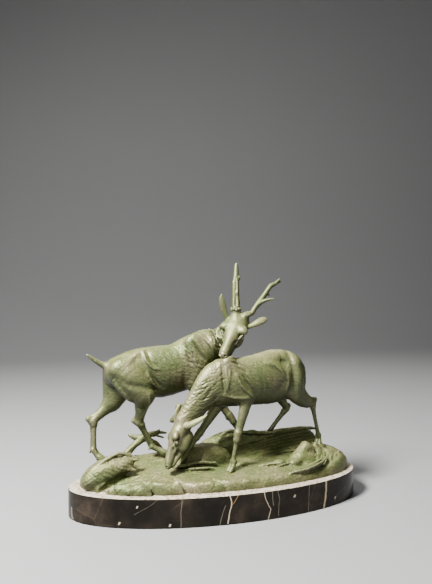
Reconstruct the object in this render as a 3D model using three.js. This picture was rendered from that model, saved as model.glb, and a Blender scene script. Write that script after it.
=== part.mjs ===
// A bronze group of a stag resting his chin on a grazing doe, on an oval marble plinth.
// The bronze is modelled like clay: rounded strokes are added to and cut from a block of
// space that stores the distance to the surface, and the surface is then faceted.
// Millimetres, +Z up, +X to the viewer's right, +Y away from the viewer.
import * as THREE from 'three';
import { MeshoptSimplifier } from 'three/addons/libs/meshopt_simplifier.module.js';

// Plinth
const PLINTH_LENGTH = 400;
const PLINTH_WIDTH = 160;
const PLINTH_HEIGHT = 36.6;
const PLINTH_ARRIS = 0.9;
const PLINTH_SIDES = 64;

// Bronze casting
const BRONZE_HEIGHT = 293;
const SEAT_GAP = 0.3;
const BORDER_ENDS = 12;
const BORDER_FRONT = 13;
const GROUND_EDGE = 9;
const GROUND_SHIFT = 3;

// How finely the bronze is sampled and faceted, in parts of the figures' own scale
const GRID_STEP = 2;
const BRONZE_TRIANGLES = 8900;
const WORST_FACETING = 0.05;
const FAR_AWAY = 50;

// Colours
const BRONZE_COLOUR = 0x868a69;
const MARBLE_COLOUR = 0x1d1a15;

// The figures keep their pose as shares of the group's height. One part is a 293rd of it,
// and their heights are counted from the foot of the bronze.
const PART_COUNT = 293;
const PART = BRONZE_HEIGHT / PART_COUNT;
const OVAL_LONG = (PLINTH_LENGTH / 2 - BORDER_ENDS) / PART;
const OVAL_SHORT = (PLINTH_WIDTH / 2 - BORDER_FRONT) / PART;
const OVAL_SHIFT = GROUND_SHIFT / PART;
const EDGE_HEIGHT = GROUND_EDGE / PART;

// How far the figures reach along x, y and z
const FIGURES_LOW = [-192, -56];
const FIGURES_HIGH = [176, 86, 300];

// Small vector sums on [x, y, z]
const add = (a, b, k = 1) => [a[0] + b[0] * k, a[1] + b[1] * k, a[2] + b[2] * k];
const dot = (a, b) => a[0] * b[0] + a[1] * b[1] + a[2] * b[2];
const mix = (a, b, t) => a.map((value, i) => value + (b[i] - value) * t);
const unit = (a) => a.map((value) => value / Math.hypot(...a));
const cross = (a, b) => [
  a[1] * b[2] - a[2] * b[1],
  a[2] * b[0] - a[0] * b[2],
  a[0] * b[1] - a[1] * b[0],
];

// Clay: a block of space holding the distance to the surface, below zero inside
class Clay {
  constructor(low, high, step) {
    this.low = low;
    this.step = step;
    this.count = low.map((value, i) => Math.ceil((high[i] - value) / step) + 1);
    this.field = new Float32Array(this.count[0] * this.count[1] * this.count[2]).fill(FAR_AWAY);
  }

  index(i, j, k) {
    return (i * this.count[1] + j) * this.count[2] + k;
  }

  // Blends a shape's distance into the block within a box around it
  shape(low, high, distance, blend, cut = false) {
    const first = low.map((value, i) => Math.max(0, Math.floor((value - this.low[i]) / this.step)));
    const last = high.map((value, i) =>
      Math.min(this.count[i] - 1, Math.ceil((value - this.low[i]) / this.step)));
    for (let i = first[0]; i <= last[0]; i += 1) {
      for (let j = first[1]; j <= last[1]; j += 1) {
        for (let k = first[2]; k <= last[2]; k += 1) {
          const at = this.index(i, j, k);
          const here = distance(this.low[0] + i * this.step, this.low[1] + j * this.step,
            this.low[2] + k * this.step);
          const old = cut ? -this.field[at] : this.field[at];
          const near = Math.max(blend - Math.abs(old - here), 0);
          const joined = Math.min(old, here) - (near * near) / (4 * blend);
          this.field[at] = cut ? -joined : joined;
        }
      }
    }
  }

  // A smooth limb through stations of [x, y, z, tall radius, wide radius], joined as one
  chain(stations, { side = [0, 1, 0], blend = 3, cut = false } = {}) {
    const rows = smoothed(stations.map((row) => (row.length === 5 ? row : [...row, row[3]])));
    const bones = rows.slice(1).map((row, i) => boneDistance(rows[i], row, side));
    const distance = (x, y, z) => bones.reduce((least, bone) => Math.min(least, bone(x, y, z)), FAR_AWAY);
    const reach = Math.max(...rows.flatMap((row) => row.slice(3))) + blend + 2 * this.step;
    const low = [0, 1, 2].map((axis) => Math.min(...rows.map((row) => row[axis])) - reach);
    const high = [0, 1, 2].map((axis) => Math.max(...rows.map((row) => row[axis])) + reach);
    this.shape(low, high, distance, blend, cut);
  }

  // An egg with a radius along each of three axes
  ball(centre, radii, { axes = [[1, 0, 0], [0, 1, 0], [0, 0, 1]], blend = 3, cut = false } = {}) {
    const reach = Math.max(...radii) + blend + 2 * this.step;
    const distance = (x, y, z) => {
      const from = [x - centre[0], y - centre[1], z - centre[2]];
      const share = axes.map((axis, i) => dot(from, axis) / radii[i]);
      const slope = share.map((value, i) => value / radii[i]);
      const size = Math.hypot(...share);
      return (size * (size - 1)) / Math.max(Math.hypot(...slope), 1e-6);
    };
    this.shape(centre.map((value) => value - reach), centre.map((value) => value + reach),
      distance, blend, cut);
  }

  // Raises or lowers the skin along strokes of [[x, z] points, width, height], on both flanks.
  // The share of each stroke that shows is given by y.
  emboss(strokes, showing) {
    for (const [points, width, height] of strokes) {
      const curve = smoothed(points);
      const reach = 2 * width;
      const [first, last] = [0, 1].map((axis) => {
        const values = curve.map((point) => point[axis]);
        const from = this.low[axis * 2];
        return [
          Math.max(0, Math.ceil((Math.min(...values) - reach - from) / this.step)),
          Math.min(this.count[axis * 2] - 1, Math.floor((Math.max(...values) + reach - from) / this.step)),
        ];
      });
      for (let i = first[0]; i <= first[1]; i += 1) {
        for (let k = last[0]; k <= last[1]; k += 1) {
          const [x, z] = [this.low[0] + i * this.step, this.low[2] + k * this.step];
          const raised = height * Math.exp(-((gapTo(curve, x, z) / width) ** 2));
          for (let j = 0; j < this.count[1]; j += 1) {
            this.field[this.index(i, j, k)] -= raised * showing(x, this.low[1] + j * this.step);
          }
        }
      }
    }
  }

  // Cuts everything below z = 0 off flat
  trimFoot() {
    const layers = Math.ceil(-this.low[2] / this.step) + 2;
    for (let i = 0; i < this.count[0]; i += 1) {
      for (let j = 0; j < this.count[1]; j += 1) {
        for (let k = 0; k < layers; k += 1) {
          const at = this.index(i, j, k);
          this.field[at] = Math.max(this.field[at], -(this.low[2] + k * this.step));
        }
      }
    }
  }
}

// More stations on a smooth curve through the given ones
function smoothed(rows) {
  const STATIONS_EACH = 4;
  const ends = [mix(rows[0], rows[1], -1), mix(rows.at(-1), rows.at(-2), -1)];
  const padded = [ends[0], ...rows, ends[1]];
  const between = rows.slice(1).flatMap((row, i) => {
    const [p, a, b, q] = padded.slice(i, i + 4);
    return Array.from({ length: STATIONS_EACH }, (_, step) => {
      const t = step / STATIONS_EACH;
      return a.map((value, n) => value + ((b[n] - p[n]) * t
        + (2 * p[n] - 5 * value + 4 * b[n] - q[n]) * t ** 2
        + (3 * value - p[n] - 3 * b[n] + q[n]) * t ** 3) / 2);
    });
  });
  return [...between, rows.at(-1)];
}

// The distance to a tapering rounded bone between two stations, flattened along its side
function boneDistance(a, b, side) {
  const along = [b[0] - a[0], b[1] - a[1], b[2] - a[2]];
  const length = Math.max(dot(along, along), 1e-6);
  return (x, y, z) => {
    const [px, py, pz] = [x - a[0], y - a[1], z - a[2]];
    const t = Math.min(1, Math.max(0, (px * along[0] + py * along[1] + pz * along[2]) / length));
    const [qx, qy, qz] = [px - t * along[0], py - t * along[1], pz - t * along[2]];
    const radius = a[3] + (b[3] - a[3]) * t;
    const flat = radius / (a[4] + (b[4] - a[4]) * t);
    const across = qx * side[0] + qy * side[1] + qz * side[2];
    const square = qx * qx + qy * qy + qz * qz + (flat * flat - 1) * across * across;
    return (Math.sqrt(Math.max(square, 0)) - radius) / Math.max(1, Math.sqrt(flat));
  };
}

// The distance from a place to a line of points in a plane
function gapTo(curve, u, v) {
  let least = Infinity;
  for (let i = 1; i < curve.length; i += 1) {
    const [p, q] = [curve[i - 1], curve[i]];
    const along = [q[0] - p[0], q[1] - p[1]];
    const from = [u - p[0], v - p[1]];
    const share = (from[0] * along[0] + from[1] * along[1]) / (along[0] ** 2 + along[1] ** 2);
    const t = Math.min(1, Math.max(0, share));
    least = Math.min(least, Math.hypot(from[0] - t * along[0], from[1] - t * along[1]));
  }
  return least;
}

// Faceting: each cube of the grid is cut into six tetrahedra, so the surface always closes
function facetsOf(clay) {
  const { count, field, low, step } = clay;
  const ways = [[1, 2, 4], [1, 4, 2], [2, 1, 4], [2, 4, 1], [4, 1, 2], [4, 2, 1]];
  const paths = ways.map(([a, b, c]) => [0, a, a + b, a + b + c]);
  const offsetOf = (corner) => clay.index(corner & 1, (corner >> 1) & 1, (corner >> 2) & 1);
  const positions = [];
  const triangles = [];
  const made = new Map();
  const NEAR_CORNER = 0.1;

  const placeOf = (at) => [
    Math.floor(at / (count[1] * count[2])),
    Math.floor(at / count[2]) % count[1],
    at % count[2],
  ].map((value, i) => low[i] + value * step);

  // The vertex on the grid line between two corners, made once
  const crossing = (from, to) => {
    const key = Math.min(from, to) * 2 ** 24 + Math.abs(to - from);
    if (!made.has(key)) {
      const share = field[from] / (field[from] - field[to]);
      const held = THREE.MathUtils.clamp(share, NEAR_CORNER, 1 - NEAR_CORNER);
      const place = mix(placeOf(from), placeOf(to), held);
      made.set(key, positions.length / 3);
      positions.push(...place);
    }
    return made.get(key);
  };
  const pointOf = (vertex) => positions.slice(vertex * 3, vertex * 3 + 3);

  // Keeps a triangle with its front to the outside
  const keep = (a, b, c, outward) => {
    const [p, q, r] = [a, b, c].map(pointOf);
    const facing = dot(cross(add(q, p, -1), add(r, p, -1)), outward) > 0;
    triangles.push(...(facing ? [a, b, c] : [a, c, b]));
  };

  for (let i = 0; i < count[0] - 1; i += 1) {
    for (let j = 0; j < count[1] - 1; j += 1) {
      for (let k = 0; k < count[2] - 1; k += 1) {
        const start = clay.index(i, j, k);
        const corners = [0, 1, 2, 3, 4, 5, 6, 7].map((corner) => start + offsetOf(corner));
        const solid = corners.filter((corner) => field[corner] < 0).length;
        if (solid === 0 || solid === 8) continue;
        for (const path of paths) {
          const cell = path.map((corner) => corners[corner]);
          const inner = cell.filter((corner) => field[corner] < 0);
          const outer = cell.filter((corner) => field[corner] >= 0);
          if (inner.length === 0 || outer.length === 0) continue;
          const outward = add(middleOf(outer.map(placeOf)), middleOf(inner.map(placeOf)), -1);
          if (inner.length === 2) {
            const ring = [[0, 0], [0, 1], [1, 1], [1, 0]].map(([a, b]) => crossing(inner[a], outer[b]));
            keep(ring[0], ring[1], ring[2], outward);
            keep(ring[0], ring[2], ring[3], outward);
          } else {
            const ends = inner.flatMap((a) => outer.map((b) => crossing(a, b)));
            keep(...ends, outward);
          }
        }
      }
    }
  }
  return { positions, triangles };
}

function middleOf(points) {
  return points.reduce((sum, point) => add(sum, point, 1 / points.length), [0, 0, 0]);
}

// Legs, heads and ears, shared by both animals

// A rounded cannon with its knot at the fetlock, and a hoof pointing ahead
function foot(clay, { top, fetlock, toe, size }) {
  const ahead = unit([toe[0] - fetlock[0], toe[1] - fetlock[1], 0]);
  const tip = add(add(toe, ahead, 4 * size), [0, 0, -size]);
  clay.chain([
    [...mix(top, fetlock, 0.05), 4.9 * size, 4.5 * size],
    [...mix(top, fetlock, 0.35), 3.9 * size, 3.4 * size],
    [...mix(top, fetlock, 0.8), 3.7 * size, 3.3 * size],
    [...fetlock, 4.5 * size, 4.4 * size],
  ], { blend: 2 });
  clay.chain([
    [...fetlock, 4.2 * size],
    [...mix(fetlock, toe, 0.55), 3.9 * size, 4.6 * size],
    [...toe, 4.8 * size, 5.4 * size],
    [...tip, 3 * size, 4 * size],
  ], { side: cross(ahead, [0, 0, 1]), blend: 1 });
}

function foreLeg(clay, { elbow, knee, fetlock, toe, size, upper }) {
  clay.chain([
    [...elbow, upper, upper * 0.75],
    [...mix(elbow, knee, 0.35), 7 * size, 6 * size],
    [...mix(elbow, knee, 0.7), 5.4 * size, 4.9 * size],
    [...mix(elbow, knee, 0.93), 4.9 * size, 4.7 * size],
  ], { blend: 4 });
  clay.ball(knee, [5.7 * size, 5.4 * size, 6.6 * size], { blend: 2 });
  foot(clay, { top: mix(knee, fetlock, 0.08), fetlock, toe, size });
}

function hindLeg(clay, { stifle, hock, heel, fetlock, toe, size, upper }) {
  const calf = mix(mix(stifle, hock, 0.4), heel, 0.12);
  clay.chain([
    [...stifle, upper, upper * 0.66],
    [...mix(stifle, hock, 0.45), upper * 0.66, upper * 0.52],
    [...mix(stifle, hock, 0.85), 5.2 * size, 4.8 * size],
    [...hock, 5.4 * size, 5 * size],
  ], { blend: 4 });
  const tendon = [[...calf, upper * 0.42], [...mix(calf, heel, 0.6), 3 * size], [...heel, 3.5 * size]];
  clay.chain(tendon, { blend: 1.5 });
  clay.chain([[...heel, 3.6 * size], [...mix(hock, fetlock, 0.1), 4.9 * size, 4.6 * size]], { blend: 2 });
  foot(clay, { top: mix(hock, fetlock, 0.06), fetlock, toe, size });
}

// Skull and jaw of every head, as stations of [down the nose, out, tall radius, wide radius]
const SKULL = [
  [0, -5, 11, 11], [10, -1.5, 11.5, 12], [21, -0.5, 10.4, 11.4], [33, 0.5, 8, 7],
  [44, 1, 6.6, 5.3], [53, 1, 6, 5.3], [60, -0.5, 5.2, 5],
];
const JAW = [[12, -15, 9, 8], [24, -15, 8.5, 7], [36, -11, 6, 5.4], [49, -7.5, 3.9, 4.3], [56, -6, 3.2, 3.8]];

// A head with brows, sockets, eyes and cheeks. The gape drops the jaw more and more towards its tip.
function head(clay, { poll, nose, forehead, size, broad, gape = 0 }) {
  const along = unit(nose);
  const out = unit(add(forehead, along, -dot(forehead, along)));
  const side = cross(along, out);
  const axes = [along, out, side];
  const place = (down, up, across = 0) =>
    add(add(add(poll, along, down * size), out, up * size), side, across * size * broad);
  const stations = (rows) => rows.map(([down, up, tall, wide]) =>
    [...place(down, up), tall * size, wide * size * broad]);
  const lump = (down, up, across, radii, options) => {
    for (const hand of [-1, 1]) {
      clay.ball(place(down, up, hand * across), [radii[0] * size, radii[1] * size, radii[2] * size * broad],
        { axes, ...options });
    }
  };
  clay.chain(stations(SKULL), { side });
  clay.chain(stations(JAW.map(([down, up, tall, wide]) => [down, up - (gape * down) / 50, tall, wide])),
    { side, blend: 2 });
  lump(24, -11, 6, [12, 9, 4.5], { blend: 2.5 });
  lump(27.5, 1.8, 13, [8.4, 5.6, 6.2], { blend: 3, cut: true });
  lump(17.5, 5.2, 10.2, [6.5, 4.6, 4.8], { blend: 2.5 });
  lump(25.5, 0.6, 10.4, [3.8, 3.2, 3.2], { blend: 1 });
  return place;
}

// A leaf-shaped ear on a curve from root to tip
function ear(clay, { root, tip, bend, width, faces }) {
  const along = unit(add(tip, root, -1));
  const side = unit(add(faces, along, -dot(faces, along)));
  const pull = add(add(bend, bend), mix(root, tip, 0.5), -1);
  const leaf = [[0, 0.6], [0.25, 0.85], [0.5, 1], [0.75, 0.85], [1, 0.45]];
  const stations = leaf.map(([t, share]) => {
    const point = mix(mix(root, pull, t), mix(pull, tip, t), t);
    return [...point, width * share, width * 0.45 * Math.max(share, 0.75)];
  });
  clay.chain(stations, { side, blend: 1.5 });
}

// The doe, grazing to the left

const DOE_SIDE = unit([0.08, -1, 0]);

function doe(clay) {
  clay.chain([
    [4, -9, 126.5, 31, 17],
    [27.5, -7, 127.5, 33, 21],
    [54, -4, 129.5, 35, 24],
    [79, -1, 132.5, 37.5, 24],
    [97, 1, 137, 31, 22],
    [103, 3, 137, 24, 19],
  ], { side: DOE_SIDE, blend: 6 });
  doeShoulders(clay);
  doeNeck(clay);
  doeLegs(clay);
  const tail = [[124.5, 3, 142, 3, 4], [127, 3, 130, 2.6, 4], [126.5, 3, 116, 2.2, 4]];
  clay.chain(tail, { side: DOE_SIDE, blend: 6 });
  const middle = (x) => -14 + (x + 30) * 0.12;
  clay.emboss(DOE_FOLDS, (x, y) => Math.tanh(Math.abs(y - middle(x)) / 7));
  doeHead(clay);
}

function doeShoulders(clay) {
  const nearBlade = [[11.5, -18, 151.5, 13, 7], [20.5, -22, 127.5, 17, 9], [30, -22, 111, 10, 8]];
  const nearArm = [[5.5, -20, 114.5, 9, 7], [35.5, -22, 109, 9, 7]];
  const farBlade = [[20, 2, 141.5, 13, 7], [19, 4, 117.5, 15, 9], [7, 3, 99, 9, 7]];
  for (const row of [nearBlade, nearArm, farBlade]) clay.chain(row, { side: DOE_SIDE, blend: 5 });
}

function doeNeck(clay) {
  clay.chain([
    [4, -10, 129, 31, 17],
    [-10.5, -12, 124, 24.5, 15],
    [-26.5, -14, 108, 18.5, 12.5],
    [-38.5, -15.5, 92.5, 15.5, 11.5],
    [-49, -16.5, 80, 13, 11],
  ], { side: unit([0.2, -1, 0.1]), blend: 5 });
}

function doeLegs(clay) {
  foreLeg(clay, {
    elbow: [35.5, -22, 106.5], knee: [21.5, -25, 57], fetlock: [15, -27, 25], toe: [11.5, -30, 15.5],
    size: 1, upper: 8.8,
  });
  foreLeg(clay, {
    elbow: [4.5, 4, 99], knee: [-27, 0, 56], fetlock: [-46.5, -4, 31], toe: [-52.5, -7, 22],
    size: 1, upper: 8.8,
  });
  const thighs = [
    [[105, -9, 146.5, 14, 12], [110, -11, 128, 15.5, 12], [110, -10, 111, 13.5, 10], [120, -6, 99, 10.5, 8],
      [131, -2, 92.5, 7.5, 6.5]],
    [[110, 15, 141, 14, 12], [114, 13, 121, 15.5, 12], [110, 13, 108, 13, 10]],
  ];
  for (const row of thighs) clay.chain(row, { side: DOE_SIDE, blend: 5 });
  hindLeg(clay, {
    stifle: [108, -10, 114], hock: [140, 1, 90.5], heel: [145, 3, 95.5], fetlock: [153, 9, 42],
    toe: [152.5, 8, 31.5], size: 0.95, upper: 13.5,
  });
  hindLeg(clay, {
    stifle: [93, 18, 106], hock: [110, 25, 80], heel: [113, 25, 84], fetlock: [80, 28, 42],
    toe: [71, 27, 31], size: 0.95, upper: 11,
  });
}

function doeHead(clay) {
  const place = head(clay, {
    poll: [-55.8, -17, 75.7], nose: [-0.33, -0.282, -0.901], forehead: [-0.933, -0.047, 0.357],
    size: 0.93, broad: 1.1,
  });
  const near = { root: place(5, -3, -9), bend: [-41, -34, 80], tip: [-23, -38, 92], faces: [0, 0.8, -0.6] };
  const far = { root: [-60, -11, 74], bend: [-58, -8.5, 88], tip: [-51, -5, 102], faces: [-0.2, 1, 0] };
  ear(clay, { ...near, width: 4.4 });
  ear(clay, { ...far, width: 3.8 });
}

// Folds and bones that show from a step away, as strokes of [[x, z] points, width, height]
const DOE_FOLDS = [
  [[[19.5, 140], [27, 125], [42, 111]], 4, 2],
  [[[29, 141], [38.5, 127], [49, 114]], 3.8, -1.5],
  [[[1.4, 158], [1, 136], [3, 118]], 4, -1.8],
  [[[11, 146], [9, 134], [7, 122]], 3.8, 1.2],
  [[[64, 155], [84, 144], [91.5, 132]], 4.2, 1.8],
  [[[84, 156.5], [90, 154], [97, 149]], 5, -2.2],
  [[[94.5, 140], [95.5, 126], [93, 111]], 4, 1.8],
  [[[99, 167], [102.5, 147], [104, 125], [107, 107]], 4.4, -3],
];

// The stag, standing behind her and facing right

const STAG_SIDE = unit([0.05, -1, 0]);

function stag(clay) {
  clay.chain([
    [-131, 30, 141.5, 22, 20],
    [-117, 31, 141.5, 28, 23],
    [-99, 32, 140.5, 33.5, 24],
    [-75, 34, 140, 36.5, 25.5],
    [-50.5, 35, 144, 34.5, 24.5],
    [-28.5, 36, 152, 37, 22],
    [-11, 36, 158, 38, 19],
  ], { side: STAG_SIDE, blend: 6 });
  stagShoulders(clay);
  stagNeck(clay);
  stagLegs(clay);
  clay.chain([
    [-142, 29, 147, 8, 9], [-150, 28, 151, 5.2], [-158, 27.5, 155, 3.8], [-166, 27, 160.5, 2.9],
    [-174.5, 26, 167, 1.9],
  ], { blend: 5 });
  const BEHIND_THE_DOE = 4;
  clay.emboss(STAG_FOLDS, (x, y) => (y < BEHIND_THE_DOE ? 0 : Math.tanh(Math.abs(y - 34) / 7)));
  stagHead(clay);
}

function stagShoulders(clay) {
  const nearBlade = [[-24.5, 20, 176, 18, 8], [-21, 18, 153.5, 20, 10], [-26.5, 19, 128.5, 15, 9]];
  const farBlade = [[-13, 54, 166, 18, 8], [-8.5, 56, 142, 20, 10], [-4.5, 54, 119, 15, 9]];
  for (const row of [nearBlade, farBlade]) clay.chain(row, { side: STAG_SIDE, blend: 5 });
}

function stagNeck(clay) {
  clay.chain([
    [-11, 36, 158, 38, 19],
    [0, 30, 168.5, 28, 17],
    [12, 21, 181, 21.5, 15],
    [24, 12, 199, 16.5, 14],
    [31, 9, 209, 13, 13],
  ], { side: unit([0.45, -0.9, 0]), blend: 6 });
}

function stagLegs(clay) {
  const thighs = [
    [[-129, 14, 143.5, 19, 12], [-115, 10, 130, 22, 12.5], [-101.5, 9, 113.5, 17, 11]],
    [[-133, 42, 140.5, 21, 12], [-134, 44, 117.5, 20, 12], [-141, 43, 98.5, 12.5, 10]],
  ];
  for (const row of thighs) clay.chain(row, { side: STAG_SIDE, blend: 5 });
  hindLeg(clay, {
    stifle: [-101.5, 11, 111], hock: [-105.5, 18, 74], heel: [-112.5, 20, 76], fetlock: [-88.5, 20, 39.5],
    toe: [-73.5, 18, 30], size: 1.1, upper: 13,
  });
  hindLeg(clay, {
    stifle: [-141, 43, 98.5], hock: [-167, 37, 75], heel: [-173.5, 37, 78.5], fetlock: [-167, 32, 37],
    toe: [-158, 28, 25], size: 1.1, upper: 12,
  });
  foreLeg(clay, {
    elbow: [-26, 22, 122], knee: [-18.5, 17, 87], fetlock: [-51.5, 18, 93], toe: [-55.5, 19, 75],
    size: 1.1, upper: 13,
  });
  foreLeg(clay, {
    elbow: [-4, 50, 116.5], knee: [29, 37, 67], fetlock: [45, 30, 39.5], toe: [50, 27, 30],
    size: 1.1, upper: 13,
  });
}

function stagHead(clay) {
  head(clay, {
    poll: [33.1, 7, 212.3], nose: [-0.487, -0.406, -0.773], forehead: [-0.339, -0.727, 0.597],
    size: 1.02, broad: 1.3, gape: 6,
  });
  ear(clay, {
    root: [17, 9, 212], bend: [11, 12, 231], tip: [9.3, 12, 248.2], width: 5, faces: [0.3, 0.95, 0],
  });
  clay.chain([
    [40, -2, 201.5, 2.8, 2.3], [49, -4, 204.8, 3.7, 2.3], [57, -5, 208.6, 5.2, 2.6],
    [63, -5, 211.4, 5.4, 2.6], [66.8, -5, 212.8, 3.8, 2.3],
  ], { side: unit([0.2, 0.8, -0.55]), blend: 1.5 });
  clay.chain([[30, 6, 205, 9], [29, 8, 216, 7.6], [29, 8.2, 224, 6.4]], { blend: 4 });
  clay.chain([[34, 4, 206, 8], [40, 2, 215.5, 6]], { blend: 4 });
  antlers(clay);
}

// The upright antler, the leaning one, and its tines
function antlers(clay) {
  const upright = [[28.9, 8, 222, 6.4], [29, 9.5, 231, 5.9], [29.8, 12.5, 244, 5.2], [30.8, 16, 258, 5],
    [32.5, 20.5, 272, 4.1], [34, 24, 285, 3.1], [34.5, 25.2, 290.5, 2.4]];
  const leaning = [[40, 2, 216, 6], [43.6, 2, 219.9, 4.6], [50.2, 1, 222, 3.8], [53.8, 1, 227.5, 3.5],
    [60, 2, 235.5, 3.8], [68, 3, 245, 3.7], [75, 4, 254.5, 3.3], [79.8, 5, 259.8, 3.4], [86, 5, 262.8, 2.7],
    [92.5, 6, 268.4, 1.9]];
  const tines = [
    [[58, 1, 232.5, 3.2], [66, -1, 237.8, 2.7], [74, -4, 240.8, 2], [79, -6, 241.3, 1.6]],
    [[87, 5, 263, 2.1], [94.5, 7.6, 265.6, 1.5]],
  ];
  for (const row of [upright, leaning, ...tines]) clay.chain(row, { blend: 1.5 });
}

// Folds and bones that show from a step away, as strokes of [[x, z] points, width, height]
const STAG_FOLDS = [
  [[[-101, 172], [-96.6, 158.8], [-87.7, 148.8], [-80, 147]], 4, 2],
  [[[-93, 170], [-88, 158], [-80, 153.5]], 4, -1.4],
  [[[-95.5, 142], [-86.5, 127.5], [-79, 120]], 4, 1.8],
  [[[-89, 142], [-79.5, 128.5], [-72, 122]], 4, -1.6],
  [[[-138, 139], [-122, 129], [-107.7, 126], [-92, 122], [-82, 119]], 4.2, -2.4],
  [[[-144, 141], [-131, 126], [-118.8, 113], [-106, 95]], 4, -1.8],
  [[[-31, 182], [-23.5, 168], [-16, 157]], 3.8, -1.8],
  [[[-25, 184], [-17, 170], [-9.5, 158]], 3.8, 1.4],
];

// The ground, an oval slab of earth with rock, grass and fallen wood

// Mounds of [centre x, centre y, reach along x, reach along y, height]
const MOUNDS = [
  [0, 34, 190, 34, 15],
  [-60, -8, 34, 20, 5],
  [-148, 26, 26, 20, 9],
  [160, 4, 34, 34, 11],
];

function groundHeight(x, y) {
  const ring = ((x - OVAL_SHIFT) / OVAL_LONG) ** 2 + (y / OVAL_SHORT) ** 2;
  const dome = 4 * Math.sqrt(Math.max(0, 1 - ring));
  const swell = MOUNDS.map(([cx, cy, reachX, reachY, high]) =>
    high * Math.exp(-(((x - cx) / reachX) ** 2) - ((y - cy) / reachY) ** 2));
  return EDGE_HEIGHT + dome + swell.reduce((sum, value) => sum + value, 0);
}

function slab(clay) {
  const ROUND = 9;
  const TOP = 60;
  const distance = (x, y, z) => {
    const from = [(x - OVAL_SHIFT) / OVAL_LONG, y / OVAL_SHORT];
    const ring = Math.hypot(...from);
    const slope = Math.max(Math.hypot(from[0] / OVAL_LONG, from[1] / OVAL_SHORT), 1e-4);
    const wall = ((ring - 1) * ring) / slope;
    const top = (z - groundHeight(x, y)) * 0.95;
    const near = Math.max(ROUND - Math.abs(wall - top), 0);
    return Math.max(Math.max(wall, top) + (near * near) / (4 * ROUND), -z);
  };
  const reach = [OVAL_LONG + 10, OVAL_SHORT + 10];
  clay.shape([-reach[0], -reach[1], -4], [reach[0] + OVAL_SHIFT, reach[1], TOP], distance, 0.01);
}

// A broken log at the left, a dead branch behind it and a fallen trunk across the back
function fallenWood(clay) {
  const log = [[-172, -18, 10, 11, 12], [-162, -17, 17, 14, 13], [-146, -13, 23, 15.5, 13],
    [-128, -11, 27, 12, 10]];
  clay.chain(log, { side: unit([0, -0.6, 0.8]) });
  clay.chain([[-158, -34, 3, 5], [-136, -29, 12, 7], [-116, -24, 18, 8]], { blend: 2, cut: true });
  clay.chain([[-178, -20, 16, 2], [-168, -20, 26, 2.4], [-152, -17, 36, 2.6], [-136, -12, 41.5, 2.4],
    [-122, -10, 38, 2.2], [-111, -11, 33.5, 1.7]], { blend: 2.5 });
  const splinters = [
    [[-128, -10, 31, 6], [-118, -12, 31.6, 3.6], [-112, -13, 32, 1.8]],
    [[-130, -5, 33, 5], [-123, -2.6, 36.3, 3.2], [-119, -1, 38.5, 1.8]],
    [[-130, -16, 24, 5], [-120, -18.4, 22.2, 3.2], [-115, -20, 21, 1.8]],
  ];
  const branch = [[-127, 34, 22, 5.5], [-113, 37, 36, 4.8], [-97, 40, 47.5, 5.4]];
  const stub = [[-101.5, 40, 46.5, 4.6], [-111, 41, 48, 3.6], [-118, 42, 51.6, 2]];
  const upper = [[-97, 40, 47.5, 4.6], [-80.5, 40, 52.5, 3], [-67, 38, 52, 1.8]];
  const lower = [[-94.5, 40, 44.5, 4], [-80.5, 38, 37, 4], [-70, 34, 24, 3.6]];
  for (const row of [...splinters, branch, stub, upper, lower]) clay.chain(row, { blend: 2 });

  const trunk = [[-4, 30, 24, 18, 15], [24, 31, 33, 18, 16], [50, 30, 27, 20, 17], [100, 28, 27, 22, 18],
    [136, 25, 28, 21, 16]];
  clay.chain(trunk, { side: unit([0, -1, 0.1]), blend: 5 });
  clay.chain([[14, 4, 41, 17], [60, 3, 40, 19], [110, 2, 44, 22], [170, 0, 46, 22]], { blend: 2, cut: true });
  clay.chain([[10, 24, 46, 2], [24, 26, 52, 2.4], [40, 24, 50, 2.2], [56, 22, 49, 3], [80, 22, 46.5, 2],
    [102, 20, 50.5, 2.4], [134, 17, 51.5, 2.6], [152, 15, 50, 2]], { blend: 2.5 });
  const [FRONT, BACK] = [4, 44];
  const grooves = [43, 34, 25].map((top) =>
    [[[150, top], [105, top - 5], [62, top - 12], [24, top - 16]], 3.2, -1.6]);
  clay.emboss(grooves, (x, y) => (y > FRONT && y < BACK ? 1 : 0));
}

function rocks(clay) {
  clay.ball([-19, 5, 17], [40, 21, 26], { blend: 6 });
  const peak = [128, -4, 35, 3];
  for (const foot of [[101, -13, 9, 9], [122, -26, 8, 8], [144, -16, 9, 9]]) clay.chain([peak, foot]);
  clay.ball([126, -7, 14], [20, 14, 14], { blend: 4 });
  clay.chain([[139, -14, 30, 1.8], [141, -12, 14, 2.6]], { blend: 1.5, cut: true });
  clay.chain([[143, -3, 33, 3], [146, -6, 13, 12]]);
  clay.chain([[152, 6, 24, 9], [152, 6, 13, 12]], { blend: 5 });
  clay.chain([[158, -8, 20, 6], [172, -8, 13, 7]], { blend: 5 });
  clay.ball([104, -24, 15], [9, 6, 6]);
  clay.ball([84, -16, 15], [8, 5, 4]);
  clay.ball([30, -12, 15], [11, 6, 4]);
}

// A place over the ground, with y as a share of the oval's half width
function overGround(x, share, lift) {
  const y = share * OVAL_SHORT;
  return [x, y, groundHeight(x, y) + lift];
}

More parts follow.
